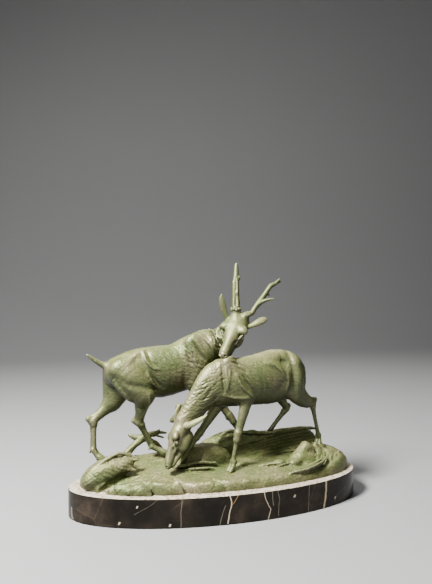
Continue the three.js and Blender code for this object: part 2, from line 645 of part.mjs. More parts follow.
// Long leaves on the ground, and swelling ones along the front
function leaves(clay) {
  const blade = [
    [...overGround(88, -0.76, 0), 3, 4],
    [...overGround(112, -0.76, 5.5), 2.2, 6],
    [...overGround(132, -0.64, 7.8), 2.2, 5],
    [...overGround(149, -0.45, 7.5), 1.8, 2.4],
  ];
  clay.chain(blade, { side: unit([0, -0.7, 0.7]), blend: 1.5 });
  const stalks = [[-66, -16, 19, 1.8], [-48, -18, 21.5, 2.2], [-33, -18, 24, 2.6], [-8, -18, 22, 1.8]];
  clay.chain(stalks, { blend: 2 });
  const swellings = [
    [[...overGround(-165, -0.6, -2), 6], [...overGround(-132, -0.79, -3), 7.5],
      [...overGround(-100, -0.88, -2), 6]],
    [[...overGround(-112, -0.73, 0), 5], [...overGround(-84, -0.85, -1), 7],
      [...overGround(-62, -0.88, -1), 5]],
  ];
  for (const row of swellings) clay.chain(row);
}

function bronzeMesh() {
  const MARGIN = 6;
  const BELOW = GRID_STEP * 2.5;
  const oval = [OVAL_LONG + OVAL_SHIFT, OVAL_SHORT];
  const low = [...oval.map((reach, i) => Math.min(-reach, FIGURES_LOW[i]) - MARGIN), -BELOW];
  const high = [...oval, 0].map((reach, i) => Math.max(reach, FIGURES_HIGH[i]) + MARGIN);
  const clay = new Clay(low, high, GRID_STEP);
  slab(clay);
  fallenWood(clay);
  rocks(clay);
  leaves(clay);
  doe(clay);
  stag(clay);
  clay.trimFoot();
  const { positions, triangles } = facetsOf(clay);
  return simplified(positions, triangles);
}

// Fewer triangles where the surface is smooth
function simplified(positions, triangles) {
  const places = new Float32Array(positions);
  const [kept] = MeshoptSimplifier.simplify(
    new Uint32Array(triangles), places, 3, BRONZE_TRIANGLES * 3, WORST_FACETING);
  const used = [...new Set(kept)];
  const renumbered = new Map(used.map((vertex, i) => [vertex, i]));
  const points = used.flatMap((vertex) => [0, 1, 2].map((axis) => places[vertex * 3 + axis] * PART));
  const geometry = new THREE.BufferGeometry();
  geometry.setAttribute('position', new THREE.Float32BufferAttribute(points, 3));
  geometry.setIndex(Array.from(kept, (vertex) => renumbered.get(vertex)));
  geometry.computeVertexNormals();
  return geometry;
}

function plinthGeometry() {
  const outline = new THREE.Shape();
  outline.absellipse(0, 0, PLINTH_LENGTH / 2, PLINTH_WIDTH / 2, 0, Math.PI * 2);
  const geometry = new THREE.ExtrudeGeometry(outline, {
    depth: PLINTH_HEIGHT - 2 * PLINTH_ARRIS,
    curveSegments: PLINTH_SIDES,
    bevelThickness: PLINTH_ARRIS,
    bevelSize: PLINTH_ARRIS,
    bevelOffset: -PLINTH_ARRIS,
    bevelSegments: 1,
  });
  geometry.translate(0, 0, PLINTH_ARRIS);
  return geometry;
}

await MeshoptSimplifier.ready;

const bronzeMetal = new THREE.MeshStandardMaterial({ color: BRONZE_COLOUR, roughness: 0.5, metalness: 0.7 });
const marble = new THREE.MeshStandardMaterial({ color: MARBLE_COLOUR, roughness: 0.25, metalness: 0 });

const plinth = new THREE.Mesh(plinthGeometry(), marble);
plinth.name = 'marble_plinth';

const bronze = new THREE.Mesh(bronzeMesh(), bronzeMetal);
bronze.name = 'bronze_group';
bronze.position.z = PLINTH_HEIGHT + SEAT_GAP;

const sculpture = new THREE.Group();
sculpture.name = 'deer_sculpture';
sculpture.add(plinth, bronze);

export default sculpture;
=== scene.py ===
# A bronze group of a stag resting his chin on a grazing doe, on an oval marble plinth.
# The bronze is modelled like clay: rounded strokes are added to and cut from a block of
# space that stores the distance to the surface, and the surface is then meshed.
import math

import bpy
import numpy as np
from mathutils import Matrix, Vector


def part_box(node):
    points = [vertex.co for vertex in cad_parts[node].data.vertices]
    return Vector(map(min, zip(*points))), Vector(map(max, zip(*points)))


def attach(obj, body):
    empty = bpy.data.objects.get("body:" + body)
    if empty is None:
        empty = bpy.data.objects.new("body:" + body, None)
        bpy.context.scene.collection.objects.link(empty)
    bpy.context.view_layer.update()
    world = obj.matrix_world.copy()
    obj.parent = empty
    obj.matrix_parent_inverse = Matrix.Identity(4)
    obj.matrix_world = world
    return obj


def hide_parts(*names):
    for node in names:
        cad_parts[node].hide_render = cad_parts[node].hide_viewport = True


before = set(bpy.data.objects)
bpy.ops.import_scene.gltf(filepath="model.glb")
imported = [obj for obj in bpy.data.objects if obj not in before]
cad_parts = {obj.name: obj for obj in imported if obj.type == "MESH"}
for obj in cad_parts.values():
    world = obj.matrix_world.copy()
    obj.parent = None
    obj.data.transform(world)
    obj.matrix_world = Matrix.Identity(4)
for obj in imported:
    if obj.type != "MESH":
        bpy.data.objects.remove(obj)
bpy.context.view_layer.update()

PLINTH_LOW, PLINTH_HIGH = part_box("marble_plinth")
BRONZE_LOW, BRONZE_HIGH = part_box("bronze_group")

# The figures are drawn in millimetres, with heights counted from the foot of the bronze
MM = 0.001
FOOT = BRONZE_LOW[2]
SEAT_GAP = (BRONZE_LOW[2] - PLINTH_HIGH[2]) / MM

# How finely each casting is sampled, in millimetres, and how many triangles it keeps
ANIMAL_STEP = 0.75
GROUND_STEP = 0.85
TRIANGLES_MOST = 190000

# A distance that stands for no clay nearby, and how deep a rough skin reaches
FAR_AWAY = 20.0
SKIN_DEPTH = 3.0

# How far a stroke reaches to each side, in its own widths
STROKE_REACH = 2.4

# What the casting's foot stays clear of the marble
SEAT_CLEARANCE = 0.02


def unit(vector):
    vector = np.asarray(vector, float)
    return vector / np.linalg.norm(vector)


def mix(a, b, t):
    return np.asarray(a, float) * (1 - t) + np.asarray(b, float) * t


def smooth_curve(points, spacing):
    """Evenly spaced points on a smooth curve through the given points."""
    points = np.asarray(points, float)
    if len(points) == 2:
        dense = points[0] + np.linspace(0, 1, 60)[:, None] * (points[1] - points[0])
    else:
        padded = np.vstack([2 * points[0] - points[1], points, 2 * points[-1] - points[-2]])
        t = np.linspace(0, 1, 30, endpoint=False)[:, None]
        parts = []
        for p, a, b, q in zip(padded, padded[1:], padded[2:], padded[3:]):
            slope = (b - p) * t + (2 * p - 5 * a + 4 * b - q) * t**2 + (3 * a - p - 3 * b + q) * t**3
            parts.append(a + slope / 2)
        dense = np.vstack(parts + [points[-1:]])
    run = np.r_[0, np.cumsum(np.linalg.norm(np.diff(dense, axis=0), axis=1))]
    count = max(2, int(round(run[-1] / spacing)) + 1)
    at = np.linspace(0, run[-1], count)
    return np.stack([np.interp(at, run, dense[:, i]) for i in range(dense.shape[1])], axis=1)


def bone_distance(x, y, z, a, b, side):
    """The distance to a tapering rounded bone between two stations, flattened along its side."""
    along = b[:3] - a[:3]
    length = max(along @ along, 1e-6)
    px, py, pz = x - a[0], y - a[1], z - a[2]
    t = np.clip((px * along[0] + py * along[1] + pz * along[2]) / length, 0, 1)
    qx, qy, qz = px - t * along[0], py - t * along[1], pz - t * along[2]
    radius = a[3] + (b[3] - a[3]) * t
    flat = radius / (a[4] + (b[4] - a[4]) * t)
    across = qx * side[0] + qy * side[1] + qz * side[2]
    square = qx * qx + qy * qy + qz * qz + (flat * flat - 1) * across * across
    return (np.sqrt(np.maximum(square, 0)) - radius) / np.maximum(1, np.sqrt(flat))


def stroke_heights(u, v, strokes):
    """Heights over a grid, fading off across each stroke's width and towards its ends."""
    heights = np.zeros((len(u), len(v)), np.float32)
    for points, width, height in strokes:
        curve = smooth_curve(points, max(width * 0.8, 1.0))
        reach = STROKE_REACH * width
        low, high = curve.min(axis=0) - reach, curve.max(axis=0) + reach
        i, j = np.searchsorted(u, (low[0], high[0])), np.searchsorted(v, (low[1], high[1]))
        if i[0] == i[1] or j[0] == j[1]:
            continue
        cell_u, cell_v = u[i[0]:i[1], None], v[None, j[0]:j[1]]
        nearest = np.full((i[1] - i[0], j[1] - j[0]), np.inf)
        run = np.zeros_like(nearest)
        for step, (p, q) in enumerate(zip(curve, curve[1:])):
            along = q - p
            t = ((cell_u - p[0]) * along[0] + (cell_v - p[1]) * along[1]) / (along @ along)
            t = np.clip(t, 0, 1)
            gap = (cell_u - p[0] - t * along[0]) ** 2 + (cell_v - p[1] - t * along[1]) ** 2
            run = np.where(gap < nearest, (step + t) / (len(curve) - 1), run)
            nearest = np.minimum(gap, nearest)
        fade = np.sin(np.pi * (0.1 + 0.8 * run)) ** 0.7
        heights[i[0]:i[1], j[0]:j[1]] += height * fade * np.exp(-nearest / width**2)
    return heights


class Clay:
    """A block of space holding the distance to the surface, below zero inside."""

    def __init__(self, low, high, step):
        self.low = np.array(low, float)
        self.step = step
        self.count = np.ceil((np.array(high, float) - self.low) / step).astype(int) + 1
        self.field = np.full(self.count, FAR_AWAY, np.float32)
        self.lines = [(self.low[i] + step * np.arange(self.count[i])).astype(np.float32) for i in range(3)]

    def window(self, low, high):
        """The cells of a box in the block, and their x, y and z."""
        first = np.clip(np.floor((low - self.low) / self.step).astype(int), 0, self.count - 1)
        last = np.clip(np.ceil((high - self.low) / self.step).astype(int) + 1, 1, self.count)
        cells = tuple(slice(a, b) for a, b in zip(first, last))
        x, y, z = (line[part] for line, part in zip(self.lines, cells))
        return cells, x[:, None, None], y[None, :, None], z[None, None, :]

    def join(self, cells, distance, blend, cut=False):
        """Adds a shape to the clay, or cuts it away, with a soft seam."""
        old = self.field[cells]
        if cut:
            near = np.maximum(blend - np.abs(old + distance), 0)
            self.field[cells] = np.maximum(old, -distance) + near * near / (4 * blend)
        else:
            near = np.maximum(blend - np.abs(old - distance), 0)
            self.field[cells] = np.minimum(old, distance) - near * near / (4 * blend)

    def chain(self, stations, side=(0, 1, 0), blend=3.0, cut=False):
        """A smooth limb through stations of x, y, z, tall radius and wide radius."""
        rows = [tuple(row) if len(row) == 5 else (*row, row[3]) for row in stations]
        rows = smooth_curve(rows, max(1.2, 0.3 * np.mean([row[3] for row in rows])))
        reach = rows[:, 3:].max() + blend + 2 * self.step
        whole = self.window(rows[:, :3].min(axis=0) - reach, rows[:, :3].max(axis=0) + reach)[0]
        distance = np.full(self.field[whole].shape, FAR_AWAY, np.float32)
        for a, b in zip(rows, rows[1:]):
            reach = max(*a[3:], *b[3:]) + blend + 2 * self.step
            cells, x, y, z = self.window(np.minimum(a, b)[:3] - reach, np.maximum(a, b)[:3] + reach)
            part = tuple(slice(c.start - w.start, c.stop - w.start) for c, w in zip(cells, whole))
            distance[part] = np.minimum(distance[part], bone_distance(x, y, z, a, b, side))
        self.join(whole, distance, blend, cut)

    def ball(self, centre, radii, axes=((1, 0, 0), (0, 1, 0), (0, 0, 1)), blend=3.0, cut=False):
        """An egg with a radius along each of three axes."""
        centre = np.asarray(centre, float)
        reach = max(radii) + blend + 2 * self.step
        cells, x, y, z = self.window(centre - reach, centre + reach)
        size = slope = 0
        for axis, radius in zip(axes, radii):
            along = (x - centre[0]) * axis[0] + (y - centre[1]) * axis[1] + (z - centre[2]) * axis[2]
            share = along / radius
            size = size + share * share
            slope = slope + (share / radius) ** 2
        size = np.sqrt(size)
        distance = size * (size - 1) / np.maximum(np.sqrt(slope), 1e-6)
        self.join(cells, distance.astype(np.float32), blend, cut)

    def emboss(self, strokes, centre, soft=7.0):
        """Raises or lowers both flanks along strokes drawn in x and z, fading off at the centre line."""
        heights = stroke_heights(self.lines[0], self.lines[2], strokes)
        x, y = self.lines[0][:, None, None], self.lines[1][None, :, None]
        fade = np.tanh(np.abs(y - np.interp(x, *zip(*centre))) / soft)
        self.field -= (heights[:, None, :] * fade).astype(np.float32)

    def etch(self, strokes, front, back, soft=4.0):
        """Raises or lowers the clay along strokes drawn in x and z, between two levels of y."""
        heights = stroke_heights(self.lines[0], self.lines[2], strokes)
        y = self.lines[1][None, :, None]
        fade = np.clip((y - front) / soft, 0, 1) * np.clip((back - y) / soft, 0, 1)
        self.field -= (heights[:, None, :] * fade).astype(np.float32)

    def tread(self, strokes):
        """Raises or lowers the top along strokes drawn in x and y."""
        heights = stroke_heights(self.lines[0], self.lines[1], strokes)
        self.field -= heights[:, :, None].astype(np.float32)

    def roughen(self, size, height, waves=24):
        """An uneven skin: waves in all directions, about a size long."""
        random = np.random.default_rng(waves)
        near = np.nonzero(np.abs(self.field) < SKIN_DEPTH)
        place = self.low + self.step * np.stack(near, axis=-1)
        total = 0
        for _ in range(waves):
            way = unit(random.normal(size=3)) * 2 * math.pi / (size * random.uniform(0.7, 1.4))
            total = total + np.sin(place @ way + random.uniform(0, 2 * math.pi))
        self.field[near] -= (height * total / math.sqrt(waves / 2)).astype(np.float32)

    def flat_below(self, z):
        """Cuts off everything below a level."""
        self.field = np.maximum(self.field, z - self.lines[2][None, None, :])

    def surface(self):
        """Surface nets: one vertex in each cell that the surface crosses, and quads between them."""
        inside = self.field < 0
        corners = np.array(list(np.ndindex(2, 2, 2)))
        n = self.count - 1
        total = sum(inside[i:i + n[0], j:j + n[1], k:k + n[2]].astype(np.uint8) for i, j, k in corners)
        cells = np.argwhere((total > 0) & (total < 8))
        number = np.full(n, -1, np.int32)
        number[tuple(cells.T)] = np.arange(len(cells))
        value = np.stack([self.field[tuple((cells + corner).T)] for corner in corners], axis=1)
        place = np.zeros((len(cells), 3))
        crossings = np.zeros(len(cells))
        for a, b in [(a, b) for a in range(8) for b in range(a + 1, 8)]:
            if np.abs(corners[a] - corners[b]).sum() != 1:
                continue
            crossed = (value[:, a] < 0) != (value[:, b] < 0)
            share = value[crossed, a] / (value[crossed, a] - value[crossed, b])
            place[crossed] += corners[a] + share[:, None] * (corners[b] - corners[a])
            crossings[crossed] += 1
        vertices = (cells + place / crossings[:, None]) * self.step + self.low
        quads = []
        for axis in range(3):
            u, v = (axis + 1) % 3, (axis + 2) % 3
            lower, upper = [slice(None)] * 3, [slice(None)] * 3
            lower[axis], upper[axis] = slice(0, -1), slice(1, None)
            edges = np.argwhere(inside[tuple(lower)] != inside[tuple(upper)])
            free = (edges[:, u] > 0) & (edges[:, v] > 0)
            free &= (edges[:, u] < inside.shape[u] - 1) & (edges[:, v] < inside.shape[v] - 1)
            edges = edges[free]
            ring = []
            for du, dv in ((1, 1), (0, 1), (0, 0), (1, 0)):
                cell = edges.copy()
                cell[:, u] -= du
                cell[:, v] -= dv
                ring.append(number[tuple(cell.T)])
            ring = np.stack(ring, axis=1)
            outward = ~inside[tuple(edges.T)]
            ring[outward] = ring[outward][:, ::-1]
            quads.append(ring)
        return vertices, np.concatenate(quads)


def add_object(name, data):
    thing = bpy.data.objects.new(name, data)
    bpy.context.scene.collection.objects.link(thing)
    return thing


def piece_from(name, vertices, faces, material, replaces, triangles=None):
    """A smooth shaded object on the frame's body, thinned to the triangles that it may keep."""
    mesh = bpy.data.meshes.new(name)
    mesh.from_pydata(vertices, [], faces, shade_flat=False)
    mesh.validate()
    piece = add_object(name, mesh)
    mesh.materials.append(material)
    count = len(faces) * (faces.shape[1] - 2)
    if triangles and count > triangles:
        thin = piece.modifiers.new("fewer triangles", "DECIMATE")
        thin.ratio = triangles / count
        evaluated = piece.evaluated_get(bpy.context.evaluated_depsgraph_get())
        piece.data = bpy.data.meshes.new_from_object(evaluated)
        piece.modifiers.clear()
        bpy.data.meshes.remove(mesh)
        piece.data.name = name
    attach(piece, "root")
    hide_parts(replaces)
    return piece


# Legs, heads and ears, shared by both animals


def foot(clay, fetlock, toe, ahead, size):
    """A pastern, a cloven hoof and two dew claws."""
    across = np.cross(ahead, (0, 0, 1))
    for hand in (-1, 1):
        shift = across * 2.2 * size * hand
        clay.chain([
            (*(fetlock + shift * 0.7), 3.3 * size),
            (*(mix(fetlock, toe, 0.55) + shift * 0.85), 2.9 * size),
            (*(mix(fetlock, toe, 0.95) + shift + ahead * size), 4.2 * size, 3.1 * size),
            (*(toe + shift * 0.9 + (ahead * 5 - np.array((0, 0, 1.5))) * size), 2.6 * size, 2.2 * size),
        ], side=across, blend=1.0)
        claw = fetlock - ahead * 3.6 * size + shift - np.array((0, 0, 2.5)) * size
        clay.ball(claw, np.full(3, 1.6 * size), blend=1)


def cannon(clay, top, fetlock, ahead, size):
    """A cannon bone, its tendon behind it and the ball of the fetlock."""
    front, behind = ahead * 0.8 * size, -ahead * 2.2 * size
    clay.chain([
        (*(mix(top, fetlock, 0.05) + front), 4.2 * size, 3.9 * size),
        (*(mix(top, fetlock, 0.3) + front), 3 * size),
        (*(mix(top, fetlock, 0.8) + front), 2.9 * size),
        (*fetlock, 4 * size, 4.1 * size),
    ], blend=2)
    clay.chain([
        (*(mix(top, fetlock, 0.08) + behind), 2.4 * size),
        (*(mix(top, fetlock, 0.5) + behind), 1.6 * size),
        (*(mix(top, fetlock, 0.97) + behind * 0.9), 2.3 * size),
    ], blend=1)


def level(start, end):
    """The level way from one place towards another."""
    way = np.asarray(end, float) - np.asarray(start, float)
    return unit((way[0], way[1], 0))


def fore_leg(clay, elbow, knee, fetlock, toe, size, upper):
    elbow, knee, fetlock, toe = (np.array(point, float) for point in (elbow, knee, fetlock, toe))
    ahead = level(fetlock, toe)
    clay.chain([
        (*elbow, upper, upper * 0.75),
        (*mix(elbow, knee, 0.35), 7 * size, 6 * size),
        (*mix(elbow, knee, 0.7), 5.4 * size, 4.9 * size),
        (*mix(elbow, knee, 0.93), 4.9 * size, 4.7 * size),
    ], blend=4)
    clay.chain([
        (*(mix(knee, elbow, 0.1) + ahead), 5.3 * size, 5 * size),
        (*(mix(knee, fetlock, 0.12) + ahead * 0.6), 4.9 * size, 4.8 * size),
    ], blend=1.5)
    clay.ball(mix(knee, elbow, 0.03) - ahead * 4.2 * size, np.array((2.6, 3, 4)) * size, blend=2)
    cannon(clay, mix(knee, fetlock, 0.08), fetlock, ahead, size)
    foot(clay, fetlock, toe, ahead, size)


def hind_leg(clay, stifle, hock, heel, fetlock, toe, size, upper):
    joints = (stifle, hock, heel, fetlock, toe)
    stifle, hock, heel, fetlock, toe = (np.array(point, float) for point in joints)
    ahead = level(fetlock, toe)
    clay.chain([
        (*stifle, upper, upper * 0.66),
        (*mix(stifle, hock, 0.45), upper * 0.66, upper * 0.52),
        (*mix(stifle, hock, 0.85), 5.2 * size, 4.8 * size),
        (*hock, 5.4 * size, 5 * size),
    ], blend=4)
    calf = mix(mix(stifle, hock, 0.4), heel, 0.12)
    clay.chain([(*calf, upper * 0.42), (*mix(calf, heel, 0.6), 2.8 * size), (*heel, 3.3 * size)], blend=1.5)
    clay.chain([(*heel, 3.4 * size, 3.2 * size), (*mix(hock, fetlock, 0.1), 4.7 * size, 4.5 * size)], blend=2)
    cannon(clay, mix(hock, fetlock, 0.06), fetlock, ahead, size * 1.04)
    foot(clay, fetlock, toe, ahead, size)


def head(clay, poll, nose, forehead, size, broad=1.0, gape=0.0):
    """A deer's head with brows, eyes, cheeks, muzzle and a jaw that may hang open.

    Places on it are counted down the nose, out of the forehead and across.
    """
    along = unit(nose)
    out = unit(np.array(forehead) - along * (np.array(forehead) @ along))
    side = np.cross(along, out)
    axes = (along, out, side)

    def place(down, up, across=0.0):
        return np.array(poll) + (along * down + out * up + side * across * broad) * size

    def stations(rows):
        return [(*place(down, up), tall * size, wide * size * broad) for down, up, tall, wide in rows]

    def lump(down, up, across, radii, blend, cut=False):
        for hand in (-1, 1):
            clay.ball(place(down, up, hand * across), np.array(radii) * (size, size, size * broad), axes,
                      blend=blend, cut=cut)

    # Skull, jaw, cheeks, eye sockets and the bones behind the eyes
    clay.chain(stations((
        (0, -5, 11, 11), (10, -1.5, 11.5, 12), (21, -0.5, 10.4, 11.4), (33, 0.5, 8, 7), (44, 1, 6.6, 5.3),
        (53, 1, 6, 5.3), (58, -0.5, 4.8, 4.8))), side=side, blend=3)
    clay.chain(stations((
        (12, -15, 9, 8), (24, -15 - gape * 0.2, 8.5, 7), (36, -11 - gape * 0.5, 6, 5.4),
        (49, -7.5 - gape, 3.8, 4.3), (56, -6 - gape * 1.2, 2.6, 3.6))), side=side, blend=2)
    lump(24, -11, 6, (12, 9, 4.5), blend=2.5)
    lump(27, 2, 13.2, (7.8, 5.2, 5.8), blend=3.5, cut=True)
    lump(17.5, 5.2, 10.2, (6.5, 4.4, 4.8), blend=2.5)
    for hand in (-1, 1):
        brow = [(*place(15, 5, hand * 6), 4 * size), (*place(19.5, 4.6, hand * 13.2), 2.9 * size)]
        clay.chain(brow, blend=2.5)

    # Eyes, the ridges below them, the hollows of the muzzle and the nostrils
    lump(25.5, 0.6, 10.4, (3.3, 2.8, 2.8), blend=0.4)
    lump(33, 0, 6.2, (7, 3.4, 2.2), blend=3)
    lump(41, 2, 6.8, (8, 2.2, 1.3), blend=2.5, cut=True)
    lump(59.5, 2.4, 3.5, (2, 1.2, 1.6), blend=0.6, cut=True)

    # Upper and lower eyelids and the line of the mouth
    lids_and_lips = (
        (((20.5, 2.6, 12.2), (24.5, 4.2, 11.6), (30, 2.2, 9)), 0.8, False),
        (((21.5, -1.4, 11.6), (26, -2.4, 11), (30.5, 0.6, 8.6)), 1.2, False),
        (((43, -4.6, 6.6), (52, -4.4, 6.2), (58.5, -3.6, 4.4), (61.5, -3.2, 1)), 0.6, True),
    )
    for hand in (-1, 1):
        for rows, blend, cut in lids_and_lips:
            line = [(*place(down, up, hand * across), 0.9 * size) for down, up, across in rows]
            clay.chain(line, blend=blend, cut=cut)

    # The pad of the nose, its nostrils and the open mouth
    clay.ball(place(58.5, 1.4), np.array((3.2, 3.8, 5)) * (size, size, size * broad**0.5), axes, blend=1.5)
    lump(60, 3, 2.9, (2, 1.3, 1.5), blend=0.6, cut=True)
    if gape:
        mouth = ((45, -5, 1.6, 4.2), (54, -7, 3.2, 4.8), (66, -9.5, 4.6, 5))
        clay.chain(stations(mouth), side=side, blend=0.8, cut=True)
    return place


def ear(clay, root, tip, width, faces, bend):
    """A leaf-shaped ear on a curve from root to tip, hollowed on the side that it faces."""
    root, tip, bend = (np.asarray(point, float) for point in (root, tip, bend))
    along = unit(tip - root)
    side = unit(np.array(faces) - along * (np.array(faces) @ along))
    pull = 2 * bend - mix(root, tip, 0.5)
    stations, hollow = [], []
    for t, share in ((0, 0.6), (0.25, 0.85), (0.5, 1), (0.75, 0.82), (0.92, 0.45), (1, 0.15)):
        point = mix(mix(root, pull, t), mix(pull, tip, t), t)
        thick = width * 0.45 * max(share, 0.4)
        stations.append((*point, width * share, thick))
        hollow.append((*(point + side * thick * 1.1), width * share * 0.6, thick * 0.8))
    clay.chain(stations, side=side, blend=1.5)
    clay.chain(hollow[1:-1], side=side, blend=1.2, cut=True)


def hair(path, reach, angle, rows, columns, length, height, width):
    """Short locks in a band that runs along a path and reaches to one side of it by a vector."""
    random = np.random.default_rng(1000 * rows + columns)
    line = smooth_curve(path, 1.0)
    locks = []
    for row in range(rows):
        for column in range(columns):
            along = (row + random.uniform(0.1, 0.9)) / rows
            across = (column + random.uniform(0.1, 0.9)) / columns
            middle = line[int(along * (len(line) - 1))] + np.array(reach) * across
            turn = math.radians(angle + random.uniform(-9, 9))
            half = np.array((math.cos(turn), math.sin(turn))) * length * random.uniform(0.35, 0.6)
            sag = np.array((half[1], -half[0])) * 0.22
            rise = height * random.uniform(0.6, 1.2)
            locks.append(((middle - half, middle + sag, middle + half), width, rise))
    return locks


def skin(folds, bands):
    """All the strokes of a skin: its folds, then the locks of each band of hair."""
    return [*folds, *(lock for band in bands for lock in hair(*band))]


# The doe, grazing to the left

DOE_SIDE = unit((0.08, -1, 0))
DOE_MIDDLE = ((-70, -17), (-30, -14), (4, -9), (54, -4), (79, -1), (99, 2), (150, 8))

# Folds, bones and ribs as strokes of points in x and z, width and height
DOE_FOLDS = (
    (((19.5, 140), (27, 125), (42, 111), (46, 107)), 2.2, 2.5),
    (((28, 140), (37, 126.5), (47, 114)), 1.5, -1.4),
    (((34, 143), (43, 129), (51, 116)), 1.5, 0.6),
    (((1.4, 158), (1, 136), (3, 118)), 2.2, -2.2),
    (((5.5, 150), (6, 132), (4, 116)), 1.8, 1.6),
    (((11, 146), (9, 134), (7, 122), (9, 115)), 1.8, 1.4),
    (((13, 150), (15.5, 138)), 3.0, -1.4),
    (((3, 113), (18, 109.5), (36, 109)), 2.2, 1.6),
    (((9, 164.5), (17, 164), (25, 161.5)), 1.5, 1.3),
    (((12, 158), (18, 156), (24, 152.5)), 1.3, -1.4),
    (((24.5, 157.5), (31, 154.5), (38, 149.5)), 1.6, 1.4),
    (((22, 150), (34, 143)), 1.6, -1.2),
    (((64, 155), (75, 151.5), (84, 144), (91.5, 132)), 3.0, 2.8),
    (((84, 156.5), (90, 154), (97, 149)), 4.8, -4.2),
    (((88, 130), (84, 120), (74, 112)), 4.0, -1.3),
    (((94.5, 140), (95.5, 126), (93, 111)), 2.6, 2.3),
    (((99, 167), (102.5, 147), (104, 125), (107, 107)), 3.8, -2.6),
    (((112.5, 150), (113, 128), (114, 108)), 3.6, 0.8),
    (((119.5, 150), (121.5, 135), (119.5, 113)), 2.8, -0.7),
)
DOE_RIBS = tuple((((x, 152), (x + 9, 134), (x + 12, 114)), 2.4, 0.4) for x in (42, 50, 58, 66))

# Bands of hair as path, reach, angle, rows, columns, length, height and width
DOE_HAIR = (
    (((-10, 151), (-24, 138), (-40, 116), (-54, 90)), (18, -12), 24, 26, 3, 7.5, -0.5, 0.9),
    (((-20, 136), (-28, 126), (-36, 114)), (12, -8), 28, 9, 2, 9, -0.8, 1.1),
    (((-8, 118), (-22, 102), (-36, 86)), (10, -8), 18, 12, 2, 8, -0.6, 1.0),
    (((18, 118), (110, 118)), (0, 40), -38, 30, 8, 8, -0.25, 0.9),
    (((110, 110), (112, 150)), (14, 0), -75, 12, 4, 8, -0.35, 0.9),
)


def doe_clay():
    clay = Clay((-90, -52, 8), (170, 46, 176), ANIMAL_STEP)
    clay.chain([
        (4, -9, 126.5, 31, 17), (27.5, -7, 127.5, 33, 21), (54, -4, 129.5, 35, 24),
        (79, -1, 132.5, 37.5, 24), (97, 1, 137, 31, 22), (103, 3, 137, 24, 19),
    ], side=DOE_SIDE, blend=6)
    doe_shoulders(clay)
    doe_neck(clay)
    doe_legs(clay)
    tail = ((124.5, 3, 142, 3, 4), (127, 3, 130, 2.6, 4), (126.5, 3, 116, 2.2, 4))
    clay.chain(tail, side=DOE_SIDE, blend=6)
    clay.emboss(skin(DOE_FOLDS + DOE_RIBS, DOE_HAIR), DOE_MIDDLE)
    clay.roughen(2.8, 0.09)
    doe_head(clay)
    return clay


def doe_shoulders(clay):
    near_blade = ((11.5, -18, 151.5, 13, 7), (20.5, -22, 127.5, 17, 9), (30, -22, 111, 10, 8))
    near_arm = ((5.5, -20, 114.5, 9, 7), (35.5, -22, 109, 9, 7))
    far_blade = ((20, 2, 141.5, 13, 7), (19, 4, 117.5, 15, 9), (7, 3, 99, 9, 7))
    for row in (near_blade, near_arm, far_blade):
        clay.chain(row, side=DOE_SIDE, blend=5)


def doe_neck(clay):
    clay.chain([
        (4, -10, 129, 31, 17), (-10.5, -12, 124, 24.5, 15), (-26.5, -14, 108, 18.5, 12.5),
        (-38.5, -15.5, 92.5, 15.5, 11.5), (-49, -16.5, 80, 13, 11),
    ], side=unit((0.2, -1, 0.1)), blend=5)


def doe_legs(clay):
    fore_leg(clay, (35.5, -22, 106.5), (21.5, -25, 57), (15, -27, 25), (11.5, -30, 15.5), size=1, upper=8.8)
    fore_leg(clay, (4.5, 4, 99), (-27, 0, 56), (-46.5, -4, 31), (-52.5, -7, 22), size=1, upper=8.8)
    near_thigh = (
        (105, -9, 146.5, 14, 12), (110, -11, 128, 15.5, 12), (110, -10, 111, 13.5, 10),
        (120, -6, 99, 10.5, 8), (131, -2, 92.5, 7.5, 6.5),
    )
    far_thigh = ((110, 15, 141, 14, 12), (114, 13, 121, 15.5, 12), (110, 13, 108, 13, 10))
    for row in (near_thigh, far_thigh):
        clay.chain(row, side=DOE_SIDE, blend=5)
    hind_leg(clay, (108, -10, 114), (140, 1, 90.5), (145, 3, 95.5), (153, 9, 42), (152.5, 8, 31.5),
             size=0.95, upper=13.5)
    hind_leg(clay, (93, 18, 106), (110, 25, 80), (113, 25, 84), (80, 28, 42), (71, 27, 31),
             size=0.95, upper=11)


def doe_head(clay):
    place = head(clay, poll=(-55.8, -17, 75.7), nose=(-0.33, -0.282, -0.901),
                 forehead=(-0.933, -0.047, 0.357), size=0.93, broad=1.1)
    ear(clay, place(2, 0, -7), (-23.3, -38, 91.7), 4.6, (0.1, 0.8, -0.6), bend=(-42, -33, 80))
    ear(clay, (-60, -11, 74), (-52, -5, 102), 3.7, (-0.2, 1, 0), bend=(-58.5, -8, 88))


# The stag, standing behind her and facing right

STAG_SIDE = unit((0.05, -1, 0))
STAG_MIDDLE = ((-180, 30), (-131, 30), (-75, 34), (-11, 36), (10, 22), (30, 8), (90, 4))

